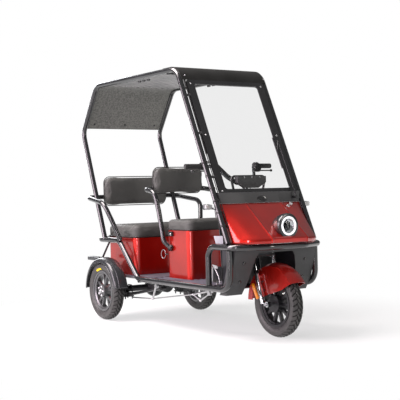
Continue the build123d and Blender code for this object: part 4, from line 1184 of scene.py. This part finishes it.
@dataclass
class WheelWell:
    """The dark liner behind the front shield: a wall on each side of the front wheel and a top."""

    half_width: float = 205.0
    rear_x: float = 1197.0
    low_z: float = 326.0
    top_z: float = 556.0
    thickness: float = 2.5
    front_edge: Table = (
        (1412.0, 326.0), (1430.0, 354.0), (1452.0, 410.0), (1466.0, 471.0), (1484.0, 540.0), (1484.0, 556.0))

    def wall(self, side: float) -> Arrays:
        """One side wall."""
        outline = [(self.rear_x, self.low_z), *self.front_edge, (self.rear_x, self.top_z)]
        return plate([(x, side * self.half_width, z) for x, z in outline], (0.0, self.thickness, 0.0))

    def build(self) -> None:
        """Makes the liner."""
        front_x, reach, low = self.front_edge[-1][0], self.half_width, self.top_z + 0.5
        flat = ((self.rear_x, -reach), (front_x, -reach), (front_x, reach), (self.rear_x, reach))
        top = plate([(x, y, low) for x, y in flat], (0.0, 0.0, self.thickness))
        add_piece("wheel_well_liner", join([self.wall(-1.0), self.wall(1.0), top]), LINER_PLASTIC, 20.0)


@dataclass
class Windshield:
    """The seals between the posts and the border, the border's screws and the clipped cable.

    The stud of a clip is given by its way ahead of the post, its y and its radius.
    """

    foot: tuple[float, float] = (1454.0, 596.0)
    slope: float = 0.4768
    seal_y: float = 314.6
    seal_ahead: float = 16.0
    seal_radius: float = 0.0054
    seal_ends: tuple[float, float] = (1150.0, 1652.0)
    screw_y: float = 284.0
    screw_ahead: float = 30.0
    screw_way: Point = (0.9026, 0.0, 0.4304)
    screw_heights: tuple[float, ...] = (915.0, 1274.0, 1615.0)
    cable_y: float = -314.0
    cable_ahead: float = 15.0
    cable_radius: float = 0.0028
    cable_ends: tuple[float, float] = (655.0, 1150.0)
    clip_heights: tuple[float, ...] = (700.0, 780.0, 850.0, 930.0, 1010.0, 1090.0)
    clip_y: float = -337.0
    clip_band: Table = ((0.0178, -0.005), (0.0196, -0.005), (0.0196, 0.005), (0.0178, 0.005))
    stud: Point = (14.0, -316.0, 0.0052)
    stud_way: Point = (0.7, 0.7, 0.3)

    def post_x(self, z: float) -> float:
        """The middle of a post at a height."""
        return self.foot[0] - self.slope * (z - self.foot[1])

    def line(self, y: float, ends: tuple[float, float], ahead: float) -> np.ndarray:
        """A straight line beside a post, between two heights."""
        heights = np.linspace(ends[0], ends[1], 24)
        return places([(self.post_x(z) + ahead, y, z) for z in heights])

    def build(self) -> None:
        """Makes the seals, the screws, the cable and its clips."""
        seals = [tube(self.line(side * self.seal_y, self.seal_ends, self.seal_ahead), self.seal_radius, 12)
                 for side in SIDES]
        add_piece("windshield_seals", join(seals), SEAL_RUBBER)
        spots = [(self.post_x(z) + self.screw_ahead, side * self.screw_y, z)
                 for z in self.screw_heights for side in SIDES]
        Bolts("border_screws", CHASSIS, STEEL, spots, self.screw_way, 0.0062, 0.0035).build()
        cable = tube(self.line(self.cable_y, self.cable_ends, self.cable_ahead), self.cable_radius, 10)
        add_piece("post_cable", cable, SEAL_RUBBER)
        clips, band, axis = [], np.array(self.clip_band), np.array([-self.slope, 0.0, 1.0])
        ahead, stud_y, stud_radius = self.stud
        for z in self.clip_heights:
            x = self.post_x(z)
            clips.append(turned_ring(band, from_axle(x, self.clip_y, z), axis, 40))
            spot = places([(x + ahead, stud_y, z)])
            clips.append(domes(spot, np.array([self.stud_way]), stud_radius, 0.004))
        add_piece("post_clips", join(clips), SEAL_RUBBER)


# Lamps and signals


@dataclass
class TurnSignal:
    """One front turn signal: a clear box lens on a back shell, with a bulb and a stalk."""

    name: str
    side: float
    middle: Point = (1314.0, 387.0, 819.0)
    half: tuple[float, float] = (25.0, 17.0)
    depth: float = 32.0
    corner: float = 8.0
    stalk_y: float = 351.0
    stalk_reach: float = 34.0
    stalk_radius: float = 0.0065
    bulb: Table = ((0.006, -0.006), (0.0075, 0.002), (0.0075, 0.010), (0.005, 0.014), (0.002, 0.0155))

    def box(self, start: float, depth: float, inset: float) -> Arrays:
        """A rounded block that faces forward, from start ahead of the middle."""
        rows = ((4.0, 0.0), (1.0, 1.0), (0.0, 4.0), (0.0, depth - 6.0), (1.2, depth - 2.0), (4.0, depth))
        wide, high = (half - inset for half in self.half)
        x, y, z = self.middle
        steps = [(wide - back, high - back, start + place) for back, place in rows]
        return block(steps, self.corner, (Y_WAY, Z_WAY, X_WAY), (x, self.side * y, z), (7, 3))

    def build(self) -> None:
        """Makes the lens, the shell, the bulb and the stalk."""
        add_piece(self.name + "_lens", self.box(-3.0, self.depth - 8.0, 1.5), SIGNAL_LENS, 50.0)
        x, y, z = self.middle
        route = places([(x - 12.0, self.side * (y - 10.0), z - 4.0),
                        (x + 4.0, self.side * (y - 24.0), z - 9.0),
                        (x + self.stalk_reach, self.side * self.stalk_y, z - 12.0)])
        stalk = tube(route, self.stalk_radius, 14)
        back = add_piece(self.name + "_shell", join([self.box(-22.0, 22.0, 0.0), stalk]), BAR_METAL, 45.0)
        bulb = turned(np.array(self.bulb), from_axle(x, self.side * y, z), X_WAY, 20)
        add_piece(self.name + "_bulb", bulb, AMBER_LENS, 60.0)
        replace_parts(back, "turn_signals")


@dataclass
class Reflectors:
    """The amber bars on the fork's legs and the red ends of the tail lamps."""

    bar_ends: tuple[Point, Point] = ((1371.0, 99.0, 331.0), (1424.0, 99.0, 240.0))
    bar_half_width: float = 11.0
    bar_depth: float = 7.0
    lamp_end: Point = (-240.0, HALF_TRACK, 437.0)
    lamp_half: tuple[float, float] = (22.0, 9.0)
    lamp_steps: Table = ((0.0, -2.0), (0.0, 3.0), (2.5, 6.0), (6.0, 7.0))

    def bar(self, side: float) -> Arrays:
        """One bar: a rounded rectangle raised outwards beside the leg."""
        high, low = (np.array([x, side * y, z]) for x, y, z in self.bar_ends)
        length = np.linalg.norm(high - low)
        along, out = (high - low) / length, Y_WAY * side
        rows = ((0.0, -3.0), (0.0, self.bar_depth - 2.0), (2.0, self.bar_depth))
        steps = [(length / 2 - inset, self.bar_half_width - inset, rise) for inset, rise in rows]
        return block(steps, 7.0, (along, np.cross(out, along), out), (low + high) / 2, (7, 3))

    def lamp(self, side: float) -> Arrays:
        """One red lens at the rear end of a tail lamp."""
        x, y, z = self.lamp_end
        wide, high = self.lamp_half
        steps = [(wide - inset, high - inset * 0.8, rise) for inset, rise in self.lamp_steps]
        return block(steps, 2.4, (Y_WAY, Z_WAY, -X_WAY), (x, side * y, z), (6, 3))

    def build(self) -> None:
        """Makes the bars and the lenses."""
        add_piece("fork_reflectors", join([self.bar(side) for side in SIDES]), AMBER_LENS, 50.0, STEERING)
        add_piece("tail_lamp_lenses", join([self.lamp(side) for side in SIDES]), RED_LENS, 50.0)


# Small fittings


@dataclass
class ForkTrim:
    """The seals on the fork's legs, the axle nuts and the brake hose.

    The hose's stops are given along the steering axis, outward of the leg and ahead of
    it, in millimetres.
    """

    rake: float = math.radians(18.0)
    foot: tuple[float, float] = (1449.0, 210.0)
    axle_spot: tuple[float, float] = (1500.0, 92.0)
    leg_y: float = 80.0
    seal_along: float = 190.0
    hose_radius: float = 0.0032
    bead: Table = (
        (0.0104, -0.001), (0.0172, -0.001), (0.0172, 0.010), (0.0140, 0.018), (0.0118, 0.024),
        (0.0104, 0.024))
    nut: Table = (
        (0.0140, -0.001), (0.0140, 0.002), (0.0105, 0.0025), (0.0105, 0.0105), (0.0070, 0.012),
        (0.0070, 0.017))
    hose: Table = (
        (430.0, -30.0, 30.0), (380.0, -6.0, 34.0), (300.0, 10.0, 26.0), (220.0, 15.0, 18.0),
        (140.0, 19.0, 12.0), (70.0, 19.0, 14.0), (30.0, 12.0, 30.0))

    def steer_point(self, along: float, side: float, ahead: float = 0.0) -> np.ndarray:
        """A place along the steering axis and beside it, in frame metres."""
        x = self.foot[0] - along * math.sin(self.rake) + ahead * math.cos(self.rake)
        z = self.foot[1] + along * math.cos(self.rake) + ahead * math.sin(self.rake)
        return from_axle(x, side, z)

    def build(self) -> None:
        """Makes the fittings."""
        axis = np.array([-math.sin(self.rake), 0.0, math.cos(self.rake)])
        axle_x, nut_y = self.axle_spot
        bead = np.array(self.bead)
        seals = [turned_ring(bead, self.steer_point(self.seal_along, side * self.leg_y), axis, 40)
                 for side in SIDES]
        nuts = [turned(np.array(self.nut), from_axle(axle_x, side * nut_y, self.foot[1]), Y_WAY * side, 6)
                for side in SIDES]
        add_piece("fork_seals", join(seals), SEAL_RUBBER, body=STEERING)
        add_piece("axle_nuts", join(nuts), STEEL, 20.0, STEERING)
        route = np.array([
            self.steer_point(along, -self.leg_y - out, ahead) for along, out, ahead in self.hose])
        add_piece("brake_hose", tube(smooth_path(route), self.hose_radius, 10), SEAL_RUBBER, body=STEERING)


@dataclass
class BarTrim:
    """The round drum on the handlebar and the cables along the bar.

    The drum is a table of radius and height. A cable's stops are x, y, z and the share
    of its lift that applies there, in millimetres.
    """

    drum_spot: Point = (1090.0, 168.0, 1064.0)
    drum_way: Point = (0.94, 0.12, 0.10)
    drum: Table = (
        (0.004, -0.016), (0.022, -0.016), (0.027, -0.010), (0.029, 0.002), (0.0285, 0.010), (0.025, 0.014),
        (0.023, 0.014), (0.022, 0.011), (0.010, 0.0105))
    cable_radius: float = 0.0032
    sides_and_lifts: Table = ((-1.0, 0.0), (-1.0, 9.0), (1.0, 0.0))
    cable: Table = (
        (1012.0, 212.0, 1092.0, 1.0), (1040.0, 196.0, 1100.0, 1.0), (1082.0, 168.0, 1094.0, 1.0),
        (1116.0, 132.0, 1048.0, 1.0), (1134.0, 104.0, 1014.0, 1.0), (1158.0, 62.0, 980.0, 0.5),
        (1192.0, 30.0, 940.0, 0.0), (1216.0, 18.0, 905.0, 0.0))

    def build(self) -> None:
        """Makes the fittings."""
        drum = turned(np.array(self.drum), from_axle(*self.drum_spot), np.array(self.drum_way), 40)
        add_piece("handlebar_drum", drum, DARK_METAL, 35.0, STEERING)
        routes = [places([(x, side * y, z + lift * share) for x, y, z, share in self.cable])
                  for side, lift in self.sides_and_lifts]
        cables = [tube(smooth_path(route), self.cable_radius, 10) for route in routes]
        add_piece("bar_cables", join(cables), SEAL_RUBBER, body=STEERING)


@dataclass
class SeatLatch:
    """The latch under the front seat: plate, hook and key barrel, and the ring beside it.

    The plate's steps are inset and height above the box, the hook's and the eye's stops
    are offsets from the latch's middle and the ring's spot, all in millimetres.
    """

    middle: Point = (600.0, -205.0, 628.0)
    half: tuple[float, float] = (20.0, 16.0)
    plate_steps: Table = ((0.0, 0.8), (0.0, 13.0), (1.6, 15.5), (6.0, 16.0))
    hook: Table = ((-10.0, -14.0, 12.0), (-10.0, -22.0, 8.0), (-10.0, -22.0, -10.0), (-10.0, -14.0, -14.0))
    barrel: Table = ((0.0085, -0.002), (0.0085, 0.003), (0.0070, 0.0045), (0.002, 0.0045))
    ring_spot: Point = (500.0, -216.0, 486.0)
    ring_half: Point = (22.0, 4.0, 30.0)
    eye: Table = ((42.0, 14.0, 0.0), (31.0, 4.0, 0.0), (21.0, 0.0, 0.0))

    def build(self) -> None:
        """Makes the latch and the ring."""
        middle = np.array(self.middle)
        steps = [(self.half[0] - inset, self.half[1] - inset, out) for inset, out in self.plate_steps]
        body = block(steps, 5.0, (X_WAY, Z_WAY, -Y_WAY), middle, (6, 3))
        hook = tube(places(middle + self.hook), 0.0035, 10)
        latch = add_piece("seat_latch_body", join([body, hook]), GLOSS_BLACK)
        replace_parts(latch, "seat_latch")
        key = turned(np.array(self.barrel), from_axle(*(middle + [6.0, -16.0, -2.0])), -Y_WAY, 24)
        add_piece("seat_latch_key", key, STEEL)
        angle = circle(40)
        loop = np.column_stack([np.cos(angle), np.cos(angle), np.sin(angle)]) * self.ring_half
        add_piece("seat_ring", outline_tube(places(loop + self.ring_spot), 0.0016), STEEL)
        add_piece("seat_ring_eye", tube(places(np.array(self.eye) + self.ring_spot), 0.0040, 12), DARK_METAL)


@dataclass
class ArmCollars:
    """Rubber collars where the front arms meet the seat box."""

    ends: tuple[Point, Point] = ((545.0, 238.0, 574.5), (600.0, 205.0, 524.0))
    inset: float = 14.0
    profile: Table = (
        (0.0172, -0.009), (0.0215, -0.009), (0.0235, -0.005), (0.0245, 0.004), (0.0245, 0.008),
        (0.0172, 0.008))

    def collar(self, side: float) -> Arrays:
        """One collar, near the lower end of its arm."""
        start, end = (np.array([x, side * y, z]) for x, y, z in self.ends)
        way = unit(end - start)
        return turned_ring(np.array(self.profile), from_axle(*(end - way * self.inset)), way, 40)

    def build(self) -> None:
        """Makes both collars."""
        add_piece("arm_collars", join([self.collar(side) for side in SIDES]), SEAL_RUBBER)


@dataclass
class PedalTrim:
    """The bright plate and rod over the brake pedal and the grey bracket behind the post."""

    pedal_y: float = -262.0
    bracket_y: float = -312.0
    thickness: Point = (0.0, 3.0, 0.0)
    rod: Table = ((1186.0, 440.0), (1206.0, 418.0), (1236.0, 378.0), (1250.0, 338.0))
    tread: Table = ((1178.0, 452.0), (1232.0, 446.0), (1240.0, 430.0), (1196.0, 424.0))
    bracket: Table = ((1262.0, 636.0), (1361.0, 639.0), (1364.0, 590.0), (1284.0, 590.0))

    def build(self) -> None:
        """Makes the parts."""
        rod = tube(places([(x, self.pedal_y, z) for x, z in self.rod]), 0.0045, 12)
        tread = plate([(x, self.pedal_y - 9.0, z) for x, z in self.tread], self.thickness)
        add_piece("pedal_linkage", join([rod, tread]), STEEL, 30.0)
        bracket = plate([(x, self.bracket_y, z) for x, z in self.bracket], self.thickness)
        add_piece("post_bracket", bracket, GREY_TRIM, 20.0)


@dataclass
class NoseBoss:
    """The bare oval boss in the middle of the fascia under the windshield.

    Its steps are the ovals' scales and heights.
    """

    spot: Point = (1357.6, 0.0, 861.0)
    slope: tuple[float, float] = (0.949, 0.315)
    half: tuple[float, float] = (38.0, 20.0)
    steps: Table = ((1.0, -1.0), (1.0, 1.5), (0.95, 3.0), (0.86, 3.4), (0.80, 2.6), (0.4, 2.9))

    def build(self) -> None:
        """Makes the boss: stacked ovals that shrink as they rise."""
        out = np.array([self.slope[0], 0.0, self.slope[1]])
        up = np.array([-self.slope[1], 0.0, self.slope[0]])
        angle = circle(48)[:, None]
        oval = self.half[0] * np.cos(angle) * Y_WAY + self.half[1] * np.sin(angle) * up
        rings = [oval * scale + out * rise + self.spot for scale, rise in self.steps]
        add_piece("nose_boss", capped_rings(places(rings)), GLOSS_BLACK)


@dataclass
class RoofClips:
    """Rows of small black clips under the roof rails."""

    near: tuple[Point, ...] = ((392.0, -312.0, 1694.0), (452.0, -312.0, 1694.0), (512.0, -312.0, 1694.0))
    far: tuple[Point, ...] = ((332.0, 312.0, 1694.0), (392.0, 312.0, 1694.0), (452.0, 312.0, 1694.0))
    half: tuple[float, float] = (16.0, 7.0)
    steps: Table = ((2.0, 12.0), (0.0, 9.0), (0.0, 0.0))

    def build(self) -> None:
        """Makes the clips as small rounded blocks."""
        steps = [(self.half[0] - inset, self.half[1] - inset, drop) for inset, drop in self.steps]
        clips = [block(steps, 3.0, (X_WAY, Y_WAY, -Z_WAY), spot, (5, 2)) for spot in self.near + self.far]
        add_piece("roof_clips", join(clips), GLOSS_BLACK)


@dataclass
class WiperBoss:
    """The bright cap and joint of the wiper's drive on the hood."""

    spots: tuple[Point, ...] = ((1377.0, 214.0, 823.0), (1386.0, 182.0, 806.0))
    way: Point = (0.62, 0.18, 0.76)
    rod_rise: float = 0.007
    cap: Table = ((0.012, -0.004), (0.012, 0.006), (0.010, 0.010), (0.004, 0.0115))

    def build(self) -> None:
        """Makes the caps and the rod that joins them."""
        way = np.array(self.way)
        parts = [turned(np.array(self.cap), from_axle(*spot), way, 28) for spot in self.spots]
        parts.append(tube(places(self.spots) + way * self.rod_rise, 0.0035, 10))
        add_piece("wiper_boss", join(parts), STEEL)


# Studio


@dataclass
class Studio:
    """A pale floor, soft lights and the camera at the photograph's angle."""

    camera_spot: Point = (6234.5, -3708.4, 927.9)
    heading: float = 56.52
    dip: float = 0.58
    tilt: float = -1.36
    lens: float = 87.05
    shift: tuple[float, float] = (0.0042, -0.0017)
    floor_radii: tuple[float, ...] = (0.02, 1.0, 2.0, 3.0, 4.5, 7.0, 12.0, 25.0, 60.0)
    floor_sides: int = 64
    floor_fade: tuple[float, float] = (0.9, 2.2)
    least_white: float = 0.58
    white: float = 1.0
    aim: Point = (0.2, 0.0, 0.7)

    def build(self) -> None:
        """Makes the floor, the lights, the world and the camera."""
        self.add_floor()
        self.add_world()
        self.add_lights()
        self.add_camera()
        view = bpy.context.scene.view_settings
        view.view_transform, view.look = "Standard", "None"

    def add_floor(self) -> None:
        """A round floor that fades into the white surround beyond the vehicle."""
        radii, angle = np.array(self.floor_radii)[:, None], circle(self.floor_sides)[None, :]
        flat = np.stack([radii * np.cos(angle), radii * np.sin(angle)], axis=-1)
        points = np.concatenate([flat, np.zeros((*flat.shape[:2], 1))], axis=-1).reshape(-1, 3)
        faces = grid_faces(*flat.shape[:2], wrap_columns=True).tolist() + [list(range(self.floor_sides))]
        mesh = bpy.data.meshes.new("floor")
        mesh.from_pydata(points.tolist(), [], faces)
        floor = bpy.data.objects.new("floor", mesh)
        bpy.context.scene.collection.objects.link(floor)
        material = bpy.data.materials.new("pale_floor")
        material.use_nodes = True
        nodes, links = material.node_tree.nodes, material.node_tree.links
        shader = nodes["Principled BSDF"]
        shader.inputs["Base Color"].default_value = (0.86, 0.86, 0.86, 1.0)
        shader.inputs["Roughness"].default_value = 0.6
        shader.inputs["Specular IOR Level"].default_value = 0.15
        glow = nodes.new("ShaderNodeEmission")
        glow.inputs["Color"].default_value = (1.0, 1.0, 1.0, 1.0)
        glow.inputs["Strength"].default_value = self.white
        place = nodes.new("ShaderNodeTexCoord")
        far = nodes.new("ShaderNodeVectorMath")
        far.operation = "LENGTH"
        links.new(place.outputs["Object"], far.inputs[0])
        fade = nodes.new("ShaderNodeMapRange")
        fade.interpolation_type = "SMOOTHSTEP"
        fade.inputs["From Min"].default_value, fade.inputs["From Max"].default_value = self.floor_fade
        fade.inputs["To Min"].default_value = self.least_white
        links.new(far.outputs["Value"], fade.inputs["Value"])
        mix = nodes.new("ShaderNodeMixShader")
        links.new(fade.outputs["Result"], mix.inputs["Fac"])
        links.new(shader.outputs["BSDF"], mix.inputs[1])
        links.new(glow.outputs["Emission"], mix.inputs[2])
        links.new(mix.outputs["Shader"], nodes["Material Output"].inputs["Surface"])
        mesh.materials.append(material)

    def add_world(self) -> None:
        """White where the camera looks past the floor, and a soft room that lights and is mirrored."""
        world = bpy.data.worlds.new("studio_room")
        world.use_nodes = True
        bpy.context.scene.world = world
        nodes, links = world.node_tree.nodes, world.node_tree.links
        room = nodes["Background"]
        place = nodes.new("ShaderNodeTexCoord")
        split = nodes.new("ShaderNodeSeparateXYZ")
        links.new(place.outputs["Generated"], split.inputs["Vector"])
        ramp = colour_ramp(nodes, ((0.50, (0.06, 0.06, 0.065)), (0.95, (0.36, 0.36, 0.36))))
        half = nodes.new("ShaderNodeMapRange")
        half.inputs["From Min"].default_value = -1.0
        links.new(split.outputs["Z"], half.inputs["Value"])
        links.new(half.outputs["Result"], ramp.inputs["Fac"])
        links.new(ramp.outputs["Color"], room.inputs["Color"])
        room.inputs["Strength"].default_value = 1.0
        white = nodes.new("ShaderNodeBackground")
        white.inputs["Color"].default_value = (1.0, 1.0, 1.0, 1.0)
        white.inputs["Strength"].default_value = self.white
        ray = nodes.new("ShaderNodeLightPath")
        mix = nodes.new("ShaderNodeMixShader")
        links.new(ray.outputs["Is Camera Ray"], mix.inputs["Fac"])
        links.new(room.outputs["Background"], mix.inputs[1])
        links.new(white.outputs["Background"], mix.inputs[2])
        links.new(mix.outputs["Shader"], nodes["World Output"].inputs["Surface"])

    def add_lights(self) -> None:
        """Large soft boxes: overhead, on the right side, ahead and behind, and a strip at a corner."""
        rows = (
            ("top_box", (-0.8, -1.7, 3.9), 2.2, 2.8, 300.0, (1.0, 0.92, 0.92)),
            ("side_box", (-1.0, -4.4, 1.7), 3.8, 2.2, 240.0, (1.0, 0.84, 0.94)),
            ("corner_strip", (3.4, -4.6, 1.5), 0.45, 3.0, 90.0, (1.0, 0.84, 0.93)),
            ("front_box", (5.4, 2.2, 2.4), 1.0, 2.6, 80.0, (1.0, 0.95, 0.90)),
            ("rear_box", (-4.2, 0.5, 2.2), 1.4, 2.4, 60.0, (0.95, 0.97, 1.0)))
        for name, spot, width, height, power, colour in rows:
            light = bpy.data.lights.new(name, "AREA")
            light.shape = "RECTANGLE"
            light.size, light.size_y, light.energy = width, height, power
            light.color = colour
            lamp = bpy.data.objects.new(name, light)
            bpy.context.scene.collection.objects.link(lamp)
            lamp.location = spot
            aim = Vector(self.aim) - Vector(spot)
            lamp.rotation_euler = aim.to_track_quat("-Z", "Y").to_euler()

    def add_camera(self) -> None:
        """The camera, from its spot, heading, dip and tilt."""
        heading, dip, tilt = (math.radians(v) for v in (self.heading, self.dip, self.tilt))
        level_way = np.array([math.sin(heading), -math.cos(heading), 0.0])
        back = level_way * math.cos(dip) + Z_WAY * math.sin(dip)
        right = unit(np.cross(-back, Z_WAY))
        up = np.cross(right, -back)
        level = right * math.cos(tilt) + up * math.sin(tilt)
        upright = up * math.cos(tilt) - right * math.sin(tilt)
        camera = bpy.data.cameras.new("photo_camera")
        camera.lens, camera.sensor_width = self.lens, 36.0
        camera.shift_x, camera.shift_y = self.shift
        camera.dof.use_dof = False
        holder = bpy.data.objects.new("photo_camera", camera)
        bpy.context.scene.collection.objects.link(holder)
        turn = Matrix((level, upright, back)).transposed().to_4x4()
        holder.matrix_world = Matrix.Translation(from_axle(*self.camera_spot)) @ turn
        bpy.context.scene.camera = holder


def main() -> None:
    """Builds every part of the tricycle's looks and the studio round it."""
    logging.basicConfig(level=logging.INFO, format="%(message)s")
    front_hub = np.array([FRONT_AXLE_X, 0.0, AXLE_Z])
    right_hub, left_hub = (np.array([REAR_AXLE_X, side * HALF_TRACK * MILLIMETRE, AXLE_Z]) for side in SIDES)
    parts = [
        CarriedParts({
            TUBE_PAINT: ("main_frame", "floor_frame", "neck_frame", "bumper_bar", "canopy_frame",
                         "front_armrests", "rear_armrests", "dash_hoop"),
            FLOOR_MAT: ("rear_floor_mat", "floor_pan"),
            RED_PAINT: ("front_fender", "front_seat_box", "rear_seat_box"),
            ROOF_SHEET: ("roof_panel",),
            FASCIA_BLACK: ("roof_fascia",),
            FELT: ("rear_canopy_panel",),
            GLOSS_BLACK: ("windshield_border", "wiper", "handlebar_controls"),
            CLEAR_GLASS: ("windshield_glass",),
            DARK_PANEL: ("lower_fascia", "front_shield", "footwell_panel", "instrument_pod"),
            BATTERY_CASE: ("battery_block", "drive_motor"),
            DARK_METAL: ("rear_axle", "leaf_springs"),
            FENDER_PLASTIC: ("tail_lamps",),
            STEEL: ("brake_linkage", "brake_pedal"),
            CHROME: ("front_fork",),
            BAR_METAL: ("handlebar",),
            GRIP_RUBBER: ("handlebar_grips",),
            BLACK_ALLOY: ("front_rim",),
            GREY_ALLOY: ("rear_right_rim", "rear_left_rim")}),
        Seat("front_seat_cushion", "front_lid", corner=0.050),
        Seat("rear_seat_cushion", "rear_lid", corner=0.050),
        Seat("front_seatback", CHASSIS, corner=0.048, upright=True, piping_share=0.42),
        Seat("rear_seatback", CHASSIS, corner=0.048, upright=True, piping_share=0.42),
        TreadTyre("front_tyre", "front_wheel", front_hub),
        TreadTyre("rear_right_tyre", "rear_right_wheel", right_hub),
        TreadTyre("rear_left_tyre", "rear_left_wheel", left_hub),
        WheelTrim("rear_right", "rear_right_wheel", right_hub, -1.0),
        WheelTrim("rear_left", "rear_left_wheel", left_hub, 1.0),
        Hood(), Headlamp(),
        RearFender("rear_right_fender", -1.0), RearFender("rear_left_fender", 1.0),
        WheelWell(), Windshield(), TurnSignal("right_signal", -1.0), TurnSignal("left_signal", 1.0),
        Reflectors(), ForkTrim(), BarTrim(), SeatLatch(), ArmCollars(), PedalTrim(), NoseBoss(), RoofClips(),
        WiperBoss(),
        Bolts("shield_bolts", CHASSIS, GLOSS_BLACK, [
            (1478.0, -240.0, 472.0), (1443.0, -250.0, 357.0), (1478.0, 240.0, 472.0), (1443.0, 240.0, 361.0)],
            (1.0, 0.0, -0.1), radius=0.010, height=0.005),
        Bolts("rear_panel_screws", CHASSIS, DARK_METAL, [(-387.0, y, 1446.0) for y in (-266.0, 0.0, 266.0)],
              (0.826, 0.0, -0.563), radius=0.008),
        *(Bolts("fender_screws_" + name, STEERING, DARK_METAL,
                [(1425.0, side * 60.2, 346.0), (1436.0, side * 60.2, 293.0)], (0.0, side, 0.0))
          for name, side in zip(("right", "left"), SIDES)),
        Bolts("pod_screws", CHASSIS, STEEL, [(1257.6, y, 999.0) for y in (-60.0, 0.0, 60.0)],
              (1.0, 0.0, 0.0), radius=0.005, height=0.003),
        Bolts("roof_bolts", CHASSIS, STEEL, [(985.0, side * 317.0, 1668.0) for side in SIDES],
              (0.2, 0.0, -1.0), radius=0.007),
        Studio(),
    ]
    for part in parts:
        part.build()


if __name__ == "__main__":
    main()
